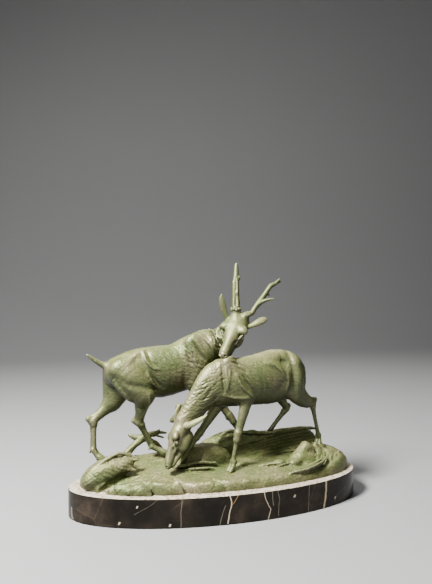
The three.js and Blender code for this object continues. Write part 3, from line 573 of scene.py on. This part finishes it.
# Folds, bones and ribs as strokes of points in x and z, width and height
STAG_FOLDS = (
    (((-101, 172.4), (-110, 168), (-122, 158)), 4.0, 1.9),
    (((-101, 172), (-96.6, 158.8), (-87.7, 148.8), (-80, 147)), 2.0, 2.3),
    (((-95, 170), (-90, 158), (-82, 151.5)), 2.4, -1.9),
    (((-95.5, 142), (-86.5, 127.5), (-79, 120)), 2.2, 2.2),
    (((-90, 141), (-80.5, 127.5), (-73, 121)), 2.2, -2.0),
    (((-138, 139), (-122, 129), (-107.7, 126), (-92, 122), (-82, 119)), 4.5, -2.2),
    (((-144, 141), (-131, 126), (-118.8, 113), (-106, 95)), 3.6, -1.7),
    (((-137, 125.5), (-124, 109), (-111, 92)), 3.2, 0.8),
    (((-94, 115), (-94.4, 98.3), (-102, 82)), 1.8, 1.4),
    (((-101, 108), (-100, 88)), 2.2, -0.7),
    (((-31, 182), (-23.5, 168), (-16, 157)), 1.7, -2.5),
    (((-27, 184), (-18.5, 170), (-11, 158)), 2.0, 1.7),
    (((-42, 178.5), (-37, 157.5), (-29, 140.5)), 3.0, -1.4),
    (((-20, 192), (-8, 178), (-2, 160)), 2.2, 1.9),
    (((-9, 195), (1, 182), (6, 166)), 2.0, -2.2),
    (((0, 197), (8, 186), (13, 172)), 2.0, 1.7),
    (((-70, 110), (-50, 113), (-34, 119)), 3.0, 0.6),
)
STAG_RIBS = tuple((((x, 168), (x + 7, 146), (x + 6, 124)), 2.6, 0.45) for x in (-74, -65, -56, -47))

# Bands of hair as path, reach, angle, rows, columns, length, height and width
STAG_HAIR = (
    (((-40, 162), (-22, 134)), (14, 10), -62, 8, 4, 9, -0.6, 1.1),
    (((-4, 184), (4, 158)), (9, 4), -62, 7, 3, 8, -0.4, 1.1),
    (((-90, 118), (-20, 122)), (0, 56), -30, 26, 12, 8, -0.25, 0.9),
    (((-140, 138), (-96, 128)), (4, 34), -35, 14, 7, 8, -0.13, 1.0),
    (((-9, 202), (5, 160)), (7, 3), -62, 12, 2, 7, -1.5, 1.2),
    (((-6, 203), (8, 161)), (5, 2), -62, 11, 1, 7, 1.2, 1.2),
)


def stag_clay():
    clay = Clay((-186, -44, 12), (106, 84, 297), ANIMAL_STEP)
    clay.chain([
        (-131, 30, 141.5, 22, 20), (-117, 31, 141.5, 28, 23), (-99, 32, 140.5, 33.5, 24),
        (-75, 34, 140, 36.5, 25.5), (-50.5, 35, 144, 34.5, 24.5), (-28.5, 36, 152, 37, 22),
        (-11, 36, 158, 38, 19),
    ], side=STAG_SIDE, blend=6)
    stag_shoulders(clay)
    stag_neck(clay)
    stag_legs(clay)
    clay.chain([(-142, 29, 147, 8, 9), (-150, 28, 151, 5.2), (-158, 27.5, 155, 3.8), (-166, 27, 160.5, 2.9),
                (-174.5, 26, 167, 1.6)], blend=5)
    clay.emboss(skin(STAG_FOLDS + STAG_RIBS, STAG_HAIR), STAG_MIDDLE)
    clay.roughen(2.8, 0.09)
    stag_head(clay)
    return clay


def stag_shoulders(clay):
    near_blade = ((-24.5, 20, 176, 18, 8), (-21, 18, 153.5, 20, 10), (-26.5, 19, 128.5, 15, 9))
    far_blade = ((-13, 54, 166, 18, 8), (-8.5, 56, 142, 20, 10), (-4.5, 54, 119, 15, 9))
    for row in (near_blade, far_blade):
        clay.chain(row, side=STAG_SIDE, blend=5)


def stag_neck(clay):
    clay.chain([
        (-11, 36, 158, 38, 19), (0, 30, 168.5, 28, 17), (12, 21, 181, 21.5, 15), (24, 12, 199, 16.5, 14),
        (31, 9, 209, 13, 13),
    ], side=unit((0.45, -0.9, 0)), blend=6)


def stag_legs(clay):
    near_thigh = ((-129, 14, 143.5, 19, 12), (-115, 10, 130, 22, 12.5), (-101.5, 9, 113.5, 17, 11))
    far_thigh = ((-133, 42, 140.5, 21, 12), (-134, 44, 117.5, 20, 12), (-141, 43, 98.5, 12.5, 10))
    for row in (near_thigh, far_thigh):
        clay.chain(row, side=STAG_SIDE, blend=5)
    hind_leg(clay, (-101.5, 11, 111), (-105.5, 18, 74), (-112.5, 20, 76), (-88.5, 20, 39.5), (-73.5, 18, 30),
             size=1.1, upper=13)
    hind_leg(clay, (-141, 43, 98.5), (-167, 37, 75), (-173.5, 37, 78.5), (-167, 32, 37), (-158, 28, 25),
             size=1.1, upper=12)
    fore_leg(clay, (-26, 22, 122), (-18.5, 17, 87), (-51.5, 18, 93), (-55.5, 19, 75), size=1.1, upper=13)
    fore_leg(clay, (-4, 50, 116.5), (29, 37, 67), (45, 30, 39.5), (50, 27, 30), size=1.1, upper=13)


def stag_head(clay):
    head(clay, poll=(33.1, 7, 212.3), nose=(-0.487, -0.406, -0.773), forehead=(-0.339, -0.727, 0.597),
         size=1.02, broad=1.3, gape=6)
    ear(clay, (17, 9, 212), (9.3, 12, 248.2), 5, (0.3, 0.95, 0), bend=(11, 12, 231))
    paddle = ((40, -2, 201.5, 2.8, 2.2), (49, -4, 204.8, 3.7, 2.2), (57, -5, 208.6, 5.2, 2.6),
              (63, -5, 211.4, 5.4, 2.6), (66.8, -5, 212.8, 3.8, 2))
    clay.chain(paddle, side=unit((0.2, 0.8, -0.55)), blend=1.5)
    for pedicle in (
        ((30, 6, 205, 9), (29, 8, 216, 7.6), (29, 8.2, 224, 6.2)),
        ((34, 4, 206, 8), (40, 2, 215.5, 6)),
    ):
        clay.chain(pedicle, blend=4)
    antlers(clay)


def antlers(clay):
    upright = ((28.9, 8, 222, 6.2), (29, 9.5, 233, 5.6), (29.8, 12.5, 244, 5.2), (30.8, 16, 258, 5),
               (32.5, 20.5, 272, 4.1), (34, 24, 285, 3.1), (34.5, 25.2, 290.5, 2.3))
    leaning = ((40, 2, 216, 6), (43.6, 2, 219.9, 4.2), (50.2, 1, 222, 3.7), (53.8, 1, 227.5, 3.5),
               (60, 2, 235.5, 3.8), (68, 3, 245, 3.7), (75, 4, 254.5, 3.3), (79.8, 5, 259.8, 3.4),
               (86, 5, 262.8, 2.7), (92.5, 6, 268.6, 1.6))
    tines = (
        ((58, 1, 232.5, 3.2), (66, -1, 237.8, 2.7), (74, -4, 240.8, 2), (80, -6, 241.4, 1.1)),
        ((72, 3, 248.5, 2.2), (77, 5, 246.6, 1.2)),
        ((87, 5, 263, 2), (95.5, 8, 265.8, 1.1)),
    )
    for row in (upright, leaning, *tines):
        clay.chain(row, blend=1.5)
    clay.chain([(27.6, 3.8, 234, 2.4), (28.4, 6, 246, 3), (29.4, 9.6, 259, 2.8), (30.8, 15, 272, 1.8)],
               blend=1.2, cut=True)

    # The burrs, rings of knobs at the antlers' feet
    knobs = 11
    for base, ring in (((29, 8.5, 227), 6.2), ((43, 1.5, 219), 4.8)):
        for turn in 2 * math.pi * np.arange(knobs) / knobs:
            way = np.array((math.cos(turn), math.sin(turn), 0.12 * math.sin(5 * turn)))
            clay.ball(np.array(base) + way * ring, (1.9, 1.9, 2.3), blend=1.2)

    # Pearls that wind up the beam, which leans to the right and back as it rises
    for mark in range(6):
        turn, high = 2.4 * mark, 236 + 7 * mark
        middle = np.array((29.2 + 0.095 * (high - 233), 9.5 + 0.27 * (high - 233), high))
        way = np.array((math.cos(turn), math.sin(turn), 0))
        clay.ball(middle + 4.2 * way, (1.7, 1.7, 3.2), blend=1.5)


# The ground, an oval slab of earth with rock, grass and fallen wood

OVAL_SHIFT = 3
OVAL_LONG = (BRONZE_HIGH[0] - BRONZE_LOW[0]) / 2 / MM
OVAL_SHORT = (BRONZE_HIGH[1] - BRONZE_LOW[1]) / 2 / MM
EDGE_HEIGHT = 9

# Mounds of centre x, centre y, reach along x, reach along y and height
MOUNDS = ((0, 34, 190, 34, 15), (-60, -8, 34, 20, 5), (-148, 26, 26, 20, 9), (160, 4, 34, 34, 11))

# Leaves and cracks of the top as strokes of points in x and y, width and height
LEAF_STROKES = (
    (((-165, -40), (-132, -53), (-100, -59)), 8.0, 4.2),
    (((-105, -43), (-101, -52), (-93, -60), (-83, -68)), 2.8, -6.0),
    (((-111, -45), (-107, -54), (-99, -62)), 2.6, 3.0),
    (((-112, -49), (-84, -57), (-62, -59)), 7.0, 4.0),
    (((-67, -41), (-63, -51), (-56, -60), (-46, -68)), 2.8, -6.0),
    (((-73, -43), (-69, -53), (-62, -62)), 2.6, 3.0),
    (((-20, -48), (-14, -58), (-4, -67)), 2.2, -2.6),
    (((-140, -42), (-110, -43), (-78, -36)), 2.4, 1.8),
    (((-136, -34), (-104, -33), (-76, -28)), 2.0, -1.5),
    (((-120, -26), (-96, -22), (-74, -20)), 2.4, 1.6),
    (((-50, -58), (-10, -62), (36, -62)), 6.0, 1.8),
    (((36, -50), (70, -54), (104, -50)), 5.0, 1.6),
    (((30, -42), (60, -44), (84, -38)), 2.0, -1.3),
    (((150, -40), (168, -26), (178, -8)), 5.0, 2.2),
)

# Bands of grass, in the same way as the hair
GRASS = (
    (((-150, -34), (150, -44)), (0, 52), 8, 60, 9, 9, 0.42, 1.1),
    (((-160, 22), (160, 22)), (0, 34), 4, 60, 6, 9, 0.42, 1.1),
    (((-160, -46), (150, -50)), (0, -10), 6, 30, 2, 12, -0.5, 1.1),
    (((146, -34), (184, -6)), (-14, 16), 60, 14, 6, 6, 1.2, 1.4),
)


def ground_height(x, y):
    ring = ((x - OVAL_SHIFT) / OVAL_LONG) ** 2 + (y / OVAL_SHORT) ** 2
    height = EDGE_HEIGHT + 4 * np.sqrt(np.clip(1 - ring, 0, 1))
    for cx, cy, rx, ry, high in MOUNDS:
        height = height + high * np.exp(-(((x - cx) / rx) ** 2) - ((y - cy) / ry) ** 2)
    return height


def slab(clay):
    rounding = 9.0
    x, y, z = clay.lines[0][:, None, None], clay.lines[1][None, :, None], clay.lines[2][None, None, :]
    u, v = (x - OVAL_SHIFT) / OVAL_LONG, y / OVAL_SHORT
    ring = np.hypot(u, v)
    slope = np.maximum(np.hypot(u / OVAL_LONG, v / OVAL_SHORT), 1e-4)
    wall = (ring - 1) * ring / slope
    top = (z - ground_height(x, y)) * 0.95
    near = np.maximum(rounding - np.abs(wall - top), 0)
    earth = np.maximum(wall, top) + near * near / (4 * rounding)
    clay.field = np.minimum(clay.field, earth.astype(np.float32))


def fallen_wood(clay):
    # The broken log at the left, hollow in front, with splinters at its end
    log = ((-172, -18, 10, 11, 12), (-162, -17, 17, 14, 13), (-146, -13, 23, 15.5, 13),
           (-128, -11, 27, 12, 10))
    clay.chain(log, side=unit((0, -0.6, 0.8)))
    clay.chain([(-158, -34, 3, 5), (-136, -29, 12, 7), (-116, -24, 18, 8)], blend=2, cut=True)
    clay.chain([(-178, -20, 16, 2), (-168, -20, 26, 2.2), (-152, -17, 36, 2.4), (-136, -12, 41.5, 2.2),
                (-122, -10, 38, 2), (-110, -11, 33.5, 0.9)], blend=2.5)
    for end, tip, thick in (((-128, -10, 31), (-111, -13, 32), 6), ((-130, -5, 33), (-119, -1, 38.5), 5),
                            ((-130, -16, 24), (-114, -20, 21), 5)):
        clay.chain([(*end, thick), (*mix(end, tip, 0.6), thick * 0.55), (*tip, 0.9)], blend=2)

    # The forked branch under the stag
    branch = ((-127, 34, 22, 5.5), (-113, 37, 36, 4.8), (-97, 40, 47.5, 5.4))
    stub = ((-101.5, 40, 46.5, 4.6), (-111, 41, 48, 3.6), (-119, 42, 52, 1.6))
    upper = ((-97, 40, 47.5, 4.6), (-80.5, 40, 52.5, 3), (-66, 38, 52, 1.2))
    lower = ((-94.5, 40, 44.5, 4), (-80.5, 38, 37, 4), (-70, 34, 24, 3.6))
    twigs = (((-84, 40, 50, 2.4), (-76, 37, 57, 1)), ((-84, 40, 50, 2.4), (-70, 36, 46, 1)))
    for row in (branch, stub, upper, lower, *twigs):
        clay.chain(row, blend=2)

    # The split trunk behind the doe, with its broken upper edge
    trunk = ((-4, 30, 24, 18, 15), (24, 31, 33, 18, 16), (50, 30, 27, 20, 17), (100, 28, 27, 22, 18),
             (136, 25, 28, 21, 16))
    clay.chain(trunk, side=unit((0, -1, 0.1)), blend=5)
    clay.chain([(14, 4, 41, 17), (60, 3, 40, 19), (110, 2, 44, 22), (170, 0, 46, 22)], blend=2, cut=True)
    clay.chain([(10, 24, 46, 2), (24, 26, 52, 2.4), (40, 24, 50, 2.2), (56, 22, 49, 3), (80, 22, 46.5, 2),
                (102, 20, 50.5, 2.4), (134, 17, 51.5, 2.6), (152, 15, 50, 2)], blend=2.5)
    clay.ball((55, 22, 49), (5, 4, 3.5))

    # Grain along the trunk and bark across the log
    grain = []
    for start in range(7):
        top, rise = 47 - 4.2 * start, 1 - 0.08 * start
        line = ((150, top), (105, top - 5 * rise), (62, top - 13 * rise), (24, top - 18 * rise))
        grain.append((line, 1.4, -1.5))
    clay.etch(grain, 4, 44)
    bark = [(((-170 + 7 * k, 22 + 1.5 * k), (-160 + 7 * k, 15 + 2 * k)), 1.1, -0.6) for k in range(8)]
    clay.etch(bark, -44, -8)


def rocks(clay):
    clay.ball((-19, 5, 17), (40, 21, 26), blend=6)
    clay.chain([(98, -15, 11, 6, 8), (112, -12, 19, 8, 9), (127, -6, 30.5, 7, 8)], blend=4)
    clay.chain([(127, -6, 30.5, 7, 8), (139, -6, 20, 9, 9)], blend=4)
    clay.ball((121, -15, 13), (21, 11, 13), blend=5)
    clay.chain([(139, -14, 30, 1.6), (141, -12, 14, 2.6)], blend=1.5, cut=True)
    clay.chain([(143, -3, 33, 3), (146, -6, 13, 12)], blend=3)
    clay.chain([(152, 6, 24, 9), (152, 6, 13, 12)], blend=5)
    clay.chain([(158, -8, 20, 6), (172, -8, 13, 7)], blend=5)
    stones = (((104, -24, 15), (9, 6, 6)), ((84, -16, 15), (8, 5, 4)), ((30, -12, 15), (11, 6, 4)))
    for place, radii in stones:
        clay.ball(place, radii, blend=3)


def leaves(clay):
    blade = ((86, -53, 10.5, 2, 4), (112, -51, 13.5, 2.2, 6), (132, -43, 17, 2.2, 5), (149, -30, 21, 1, 2))
    clay.chain(blade, side=unit((0, -0.7, 0.7)), blend=2)
    clay.chain([(96, -42, 12, 1.5, 3), (118, -38, 14, 1.6, 4), (140, -28, 18.5, 1, 2)], blend=2)
    clay.chain([(-66, -16, 19, 1.6), (-48, -18, 21.5, 2.2), (-33, -18, 24, 2.6), (-8, -18, 22, 1.6)], blend=2)
    clay.chain([(-60, -20, 15, 1.4), (-36, -24, 18, 2), (-12, -24, 17, 1.4)], blend=2)
    for start, end in (((54, -20, 14), (80, -25, 17)), ((74, -30, 13), (96, -24, 16))):
        clay.chain([(*start, 1.7), (*mix(start, end, 0.6), 1.4), (*end, 0.8)], blend=1.5)


def ground_clay():
    clay = Clay((-192, -72, -4), (198, 72, 66), GROUND_STEP)
    slab(clay)
    clay.tread(skin(LEAF_STROKES, GRASS))
    fallen_wood(clay)
    rocks(clay)
    leaves(clay)
    clay.roughen(11, 0.2)
    clay.roughen(3.4, 0.1, 26)
    clay.flat_below(SEAT_CLEARANCE - SEAT_GAP)
    return clay


# Materials


def nodes_of(name):
    material = bpy.data.materials.new(name)
    material.use_nodes = True
    tree = material.node_tree
    return material, tree, tree.nodes["Principled BSDF"]


def add_node(tree, kind, values=None, **links):
    """A shader node with its plain values, and its inputs linked to other nodes' outputs."""
    node = tree.nodes.new(kind)
    for key, value in (values or {}).items():
        if hasattr(node, key):
            setattr(node, key, value)
        else:
            node.inputs[key].default_value = value
    for key, source in links.items():
        tree.links.new(source, node.inputs[key.replace("_", " ")])
    return node


def noise(tree, place, scale, detail, roughness):
    values = {"Scale": scale, "Detail": detail, "Roughness": roughness}
    return add_node(tree, "ShaderNodeTexNoise", values, Vector=place).outputs["Fac"]


def ramp(tree, source, stops):
    """Colours, or plain numbers, at stops along a value."""
    node = tree.nodes.new("ShaderNodeValToRGB")
    node.color_ramp.elements[0].position = stops[0][0]
    node.color_ramp.elements[1].position = stops[-1][0]
    for position, _ in stops[1:-1]:
        node.color_ramp.elements.new(position)
    for element, (_, colour) in zip(node.color_ramp.elements, stops):
        element.color = (*colour, 1) if isinstance(colour, tuple) else (colour, colour, colour, 1)
    tree.links.new(source, node.inputs["Fac"])
    return node.outputs["Color"]


def mixed(tree, share, a, b, how="MIX"):
    node = tree.nodes.new("ShaderNodeMix")
    node.data_type = "RGBA"
    node.blend_type = how
    for socket, value in ((node.inputs[0], share), (node.inputs[6], a), (node.inputs[7], b)):
        if isinstance(value, (int, float)):
            socket.default_value = value
        elif isinstance(value, tuple):
            socket.default_value = (*value, 1)
        else:
            tree.links.new(value, socket)
    return node.outputs[2]


def patinated_bronze(name, grain, fleck):
    """Green bronze: painted light on tops, pale worn edges, dark patina and painted shade in hollows, and
    painted shade on undersides.

    The grain is the depth of the fine relief and the fleck is how much it shows in the colour.
    """
    material, tree, shader = nodes_of(name)
    place = tree.nodes.new("ShaderNodeTexCoord").outputs["Object"]
    geometry = tree.nodes.new("ShaderNodeNewGeometry")
    facing = add_node(tree, "ShaderNodeSeparateXYZ", Vector=geometry.outputs["Normal"])
    broad = noise(tree, place, 26.0, 4.0, 0.6)
    fine = noise(tree, place, 520.0, 5.0, 0.7)
    patch = ramp(tree, broad, (
        (0.34, (0.12, 0.15, 0.052)), (0.5, (0.17, 0.182, 0.075)), (0.66, (0.24, 0.22, 0.12))))
    # Painted light and shade: faces turned up are made up to nearly twice as bright, and faces turned down
    # nearly black
    lift = add_node(tree, "ShaderNodeMapRange", {"From Min": -1.0}, Value=facing.outputs["Z"])
    painted_light_and_shade = ramp(tree, lift.outputs["Result"], (
        (0.08, (0.05, 0.05, 0.04)), (0.4, (0.34, 0.35, 0.3)), (0.6, 1.0), (0.92, (1.75, 1.7, 1.55))))
    shaded = mixed(tree, 1.0, patch, painted_light_and_shade, "MULTIPLY")
    # Dark patina in the hollows, which also serves as painted shade there
    hollow = ramp(tree, geometry.outputs["Pointiness"], ((0.44, 0.0), (0.497, 1.0)))
    deep = mixed(tree, hollow, (0.012, 0.015, 0.006), shaded)
    edge = ramp(tree, geometry.outputs["Pointiness"], ((0.515, 0.0), (0.6, 0.85)))
    bright = mixed(tree, edge, deep, (0.5, 0.5, 0.3))
    speck = ramp(tree, fine, ((0.36, 0.4), (0.64, (1.35, 1.35, 1.3))))
    colour = mixed(tree, fleck, bright, speck, "MULTIPLY")
    tree.links.new(colour, shader.inputs["Base Color"])
    shader.inputs["Metallic"].default_value = 0.4
    rough = ramp(tree, fine, ((0.3, 0.34), (0.7, 0.56)))
    tree.links.new(rough, shader.inputs["Roughness"])
    bump = add_node(tree, "ShaderNodeBump", {"Strength": 0.5, "Distance": grain}, Height=fine)
    tree.links.new(bump.outputs["Normal"], shader.inputs["Normal"])
    return material


CREAM = (0.72, 0.6, 0.42)
ORANGE = (0.5, 0.27, 0.1)
GREY = (0.2, 0.17, 0.13)

# Veins of the marble as points of x and height in millimetres, with the half width and the colour.
# They are the edges of sheets that run through the whole stone from front to back.
VEINS = (
    (((-64.9, 0), (-64.2, 20), (-63, 37)), 0.45, GREY),
    (((-6.6, 2), (-3.5, 17.5), (-1.4, 28.4), (-4.3, 37)), 0.9, CREAM),
    (((-1.4, 24.6), (2.2, 27.4), (8, 37)), 0.6, ORANGE),
    (((-17.1, 0), (-14.2, 13.3), (-10, 24.5)), 0.5, GREY),
    (((46.2, 0), (49.7, 13.7), (44.2, 25.9), (40.9, 37)), 0.6, CREAM),
    (((53.9, 18), (53.2, 24.7), (53.3, 37)), 0.6, GREY),
    (((60.1, 4), (62.3, 23.5), (60.2, 37)), 0.5, GREY),
    (((105.2, 0), (105.8, 16.4), (106.8, 37)), 0.5, GREY),
    (((130, 0), (132.6, 11), (134.7, 23.9), (133.3, 37)), 1.7, CREAM),
    (((129.6, 0), (131.8, 11), (133.9, 23.9), (132.6, 37)), 0.7, ORANGE),
    (((-194.7, 2), (-195, 16)), 1.2, GREY),
    (((-120, 18), (-100, 30), (-92, 37)), 0.35, GREY),
    (((150, 6), (156, 14), (168, 19)), 0.4, GREY),
    (((84, 24), (85, 26.5)), 1.4, CREAM),
    (((150, 9), (151, 11.5)), 1.4, CREAM),
    (((-79, 3), (-78, 5.5)), 1.5, CREAM),
    (((-139, 5), (-138, 7.5)), 1.3, CREAM),
    (((-117, 26), (-116, 28)), 1.1, CREAM),
)


def maths(tree, kind, *values, clamp=False):
    """A shader sum of numbers and other nodes' outputs."""
    node = tree.nodes.new("ShaderNodeMath")
    node.operation = kind
    node.use_clamp = clamp
    for socket, value in zip(node.inputs, values):
        if isinstance(value, (int, float)):
            socket.default_value = value
        else:
            tree.links.new(value, socket)
    return node.outputs["Value"]


def vein_strength(tree, x, height, points, half_width):
    """How much of a vein shows, found from how far a place is from the vein's line."""
    long, tall = float(PLINTH_HIGH[0] - PLINTH_LOW[0]), float(PLINTH_HIGH[2] - PLINTH_LOW[2])
    overrun = 0.4 * MM
    stops = []
    for across, high in points:
        centre = 0.5 + across * MM / long
        stops.append((min(max(high * MM / tall, 0.0), 1.0), centre))
    line = ramp(tree, maths(tree, "DIVIDE", height, tall), stops)
    middle = maths(tree, "MULTIPLY", maths(tree, "SUBTRACT", line, 0.5), long)
    gap = maths(tree, "ABSOLUTE", maths(tree, "SUBTRACT", x, middle))
    strength = maths(tree, "SUBTRACT", 1.0, maths(tree, "DIVIDE", gap, half_width * MM))
    below = maths(tree, "GREATER_THAN", height, points[0][1] * MM - overrun)
    above = maths(tree, "LESS_THAN", height, points[-1][1] * MM + overrun)
    inside = maths(tree, "MULTIPLY", below, above)
    return maths(tree, "POWER", maths(tree, "MULTIPLY", strength, inside, clamp=True), 0.6)


def veined_marble():
    """Polished brown-black stone with cream veins, and a rougher top made pale with painted light from above.
    """
    material, tree, shader = nodes_of("dark_veined_marble")
    place = tree.nodes.new("ShaderNodeTexCoord").outputs["Object"]
    axes = add_node(tree, "ShaderNodeSeparateXYZ", Vector=place)
    cloud = noise(tree, place, 24.0, 6.0, 0.62)
    wander = noise(tree, place, 60.0, 3.0, 0.5)
    grain = noise(tree, place, 260.0, 4.0, 0.6)
    stone = ramp(tree, cloud, (
        (0.38, (0.008, 0.0065, 0.0045)), (0.56, (0.02, 0.015, 0.01)), (0.7, (0.045, 0.033, 0.022))))
    shift = maths(tree, "MULTIPLY", maths(tree, "SUBTRACT", wander, 0.5), 5.0 * MM)
    x = maths(tree, "ADD", axes.outputs["X"], shift)
    colour = stone
    for points, half_width, vein_colour in VEINS:
        strength = vein_strength(tree, x, axes.outputs["Z"], points, half_width)
        colour = mixed(tree, strength, colour, vein_colour)
    cells = {"feature": "DISTANCE_TO_EDGE", "Scale": 17.0}
    cracks = add_node(tree, "ShaderNodeTexVoronoi", cells, Vector=place)
    hairline = ramp(tree, cracks.outputs["Distance"], ((0.0, 0.5), (0.012, 0.0)))
    gate = ramp(tree, cloud, ((0.5, 0.0), (0.62, 0.6)))
    colour = mixed(tree, maths(tree, "MULTIPLY", hairline, gate), colour, (0.16, 0.12, 0.08))
    # Painted light: faces that look up get a pale cream colour, as if lit from above, and they are also
    # rougher
    top = ramp(tree, grain, (
        (0.36, (0.3, 0.2, 0.11)), (0.46, (0.6, 0.5, 0.36)), (0.62, (0.78, 0.7, 0.55))))
    geometry = tree.nodes.new("ShaderNodeNewGeometry")
    facing = add_node(tree, "ShaderNodeSeparateXYZ", Vector=geometry.outputs["Normal"])
    painted_top_light = ramp(tree, facing.outputs["Z"], ((0.35, 0.0), (0.6, 1.0)))
    tree.links.new(mixed(tree, painted_top_light, colour, top), shader.inputs["Base Color"])
    rough = ramp(tree, facing.outputs["Z"], ((0.35, 0.2), (0.6, 0.6)))
    tree.links.new(rough, shader.inputs["Roughness"])
    shader.inputs["Specular IOR Level"].default_value = 0.12
    return material


def plinth(material):
    """A finely turned oval with softened arrises."""
    half_long = (PLINTH_HIGH[0] - PLINTH_LOW[0]) / 2
    half_short = (PLINTH_HIGH[1] - PLINTH_LOW[1]) / 2
    height = PLINTH_HIGH[2] - PLINTH_LOW[2]
    arris = 0.9 * MM
    underside_ring, top_ring = arris + 20 * MM, 30 * MM
    around = 480

    # The profile as the inset from the oval and the height, from the underside up to the top
    quarter = np.linspace(0, math.pi / 2, 5)
    profile = [(underside_ring, 0.0)]
    profile += [(arris * (1 - math.sin(a)), arris * (1 - math.cos(a))) for a in quarter]
    profile += [(0.0, z) for z in np.linspace(arris, height - arris, 12)[1:-1]]
    profile += [(arris * (1 - math.cos(a)), height - arris * (1 - math.sin(a))) for a in quarter]
    profile += [(inset, height) for inset in np.linspace(arris, top_ring, 6)[1:]]
    angle = np.linspace(0, 2 * math.pi, around, endpoint=False)
    rings = []
    for inset, z in profile:
        x, y = (half_long - inset) * np.cos(angle), (half_short - inset) * np.sin(angle)
        rings.append(np.stack([x, y, np.full(around, z)], axis=1))
    vertices = np.concatenate(rings)
    number = np.arange(len(vertices)).reshape(len(profile), around)
    onward = np.roll(number, -1, axis=1)
    quads = np.stack([number[:-1], onward[:-1], onward[1:], number[1:]], axis=-1).reshape(-1, 4)
    foot, crown = len(vertices), len(vertices) + 1
    vertices = np.vstack([vertices, (0, 0, 0), (0, 0, height)])
    fans = [[foot, b, a] for a, b in zip(number[0], onward[0])]
    fans += [[crown, a, b] for a, b in zip(number[-1], onward[-1])]
    faces = np.concatenate([quads[:, [0, 1, 2]], quads[:, [0, 2, 3]], fans])
    return piece_from("marble_plinth_polished", vertices, faces, material,
                      "marble_plinth")


# The studio


def studio():
    """A pale floor that sweeps up behind into a plain wall, and three soft lights."""
    floor_mesh = bpy.data.meshes.new("floor")
    side, front, back, bend, top = 6.0, -5.0, 1.6, 1.2, 7.0
    profile = [(front, 0.0), (back, 0.0)]
    for turn in np.linspace(0.08, math.pi / 2, 20):
        profile.append((back + bend * math.sin(turn), bend - bend * math.cos(turn)))
    profile.append((back + bend, top))
    corners = [(x, y, z) for y, z in profile for x in (-side, side)]
    faces = [(2 * k, 2 * k + 1, 2 * k + 3, 2 * k + 2) for k in range(len(profile) - 1)]
    floor_mesh.from_pydata(corners, [], faces, shade_flat=False)
    floor = add_object("floor", floor_mesh)
    material, _, shader = nodes_of("pale_floor")
    shader.inputs["Base Color"].default_value = (0.42, 0.42, 0.415, 1)
    shader.inputs["Roughness"].default_value = 0.9
    floor_mesh.materials.append(material)

    world = bpy.data.worlds.new("studio")
    bpy.context.scene.world = world
    world.use_nodes = True
    sky = world.node_tree.nodes["Background"]
    sky.inputs["Color"].default_value = (0.78, 0.8, 0.82, 1)
    sky.inputs["Strength"].default_value = 0.1

    for name, place, size, power in (
        ("key", (-0.75, -0.4, 1.15), 0.3, 68.0),
        ("fill", (-0.9, -1.2, 0.6), 1.0, 1.3),
        ("back", (0.3, 0.8, 1.2), 0.8, 6.0),
    ):
        light = bpy.data.lights.new(name, "AREA")
        light.size = size
        light.energy = power
        lamp = add_object(name, light)
        lamp.location = place
        aim_at(lamp, (0, 0, 0.12))


def aim_at(thing, target):
    """Turns an object so that its -Z axis points at a place."""
    back = unit(np.array(thing.location) - np.array(target))
    right = unit(np.cross((0, 0, 1), back))
    up = np.cross(back, right)
    set_axes(thing, right, up, back)


def set_axes(thing, right, up, back):
    matrix = thing.matrix_world.to_3x3()
    for row in range(3):
        matrix[row] = (right[row], up[row], back[row])
    thing.rotation_euler = matrix.to_euler()


def camera():
    """The photograph's camera: turned to the left of the front, level, and a little above the antlers."""
    azimuth, elevation, roll = (math.radians(value) for value in (-13.43, 0.49, -0.23))
    place = np.array((-181.06, -751.29, 295.05)) * MM
    focal_pixels, photo_height = 561.37, 584
    ahead = np.array((-math.sin(azimuth), math.cos(azimuth), 0))
    back = np.array((0, 0, math.sin(elevation))) - ahead * math.cos(elevation)
    across = np.array((math.cos(azimuth), math.sin(azimuth), 0))
    rise = np.cross(back, across)
    right = across * math.cos(roll) + rise * math.sin(roll)
    up = rise * math.cos(roll) - across * math.sin(roll)
    data = bpy.data.cameras.new("camera")
    data.sensor_width = 36.0
    data.lens = data.sensor_width * focal_pixels / photo_height
    data.clip_start = 0.01
    eye = add_object("camera", data)
    eye.location = place
    set_axes(eye, right, up, back)
    bpy.context.scene.camera = eye


def cast(name, clay, material):
    """The piece that a finished clay becomes, moved from its own millimetres to the frame."""
    vertices, quads = clay.surface()
    vertices = vertices * MM + np.array((0, 0, FOOT))
    return piece_from(name, vertices, quads, material, "bronze_group", TRIANGLES_MOST)


camera()
studio()
bronze = patinated_bronze("patinated_bronze", grain=0.6 * MM, fleck=0.5)
earthy = patinated_bronze("patinated_ground", grain=1 * MM, fleck=0.85)
plinth(veined_marble())
cast("ground_casting", ground_clay(), earthy)
cast("stag_casting", stag_clay(), bronze)
cast("doe_casting", doe_clay(), bronze)
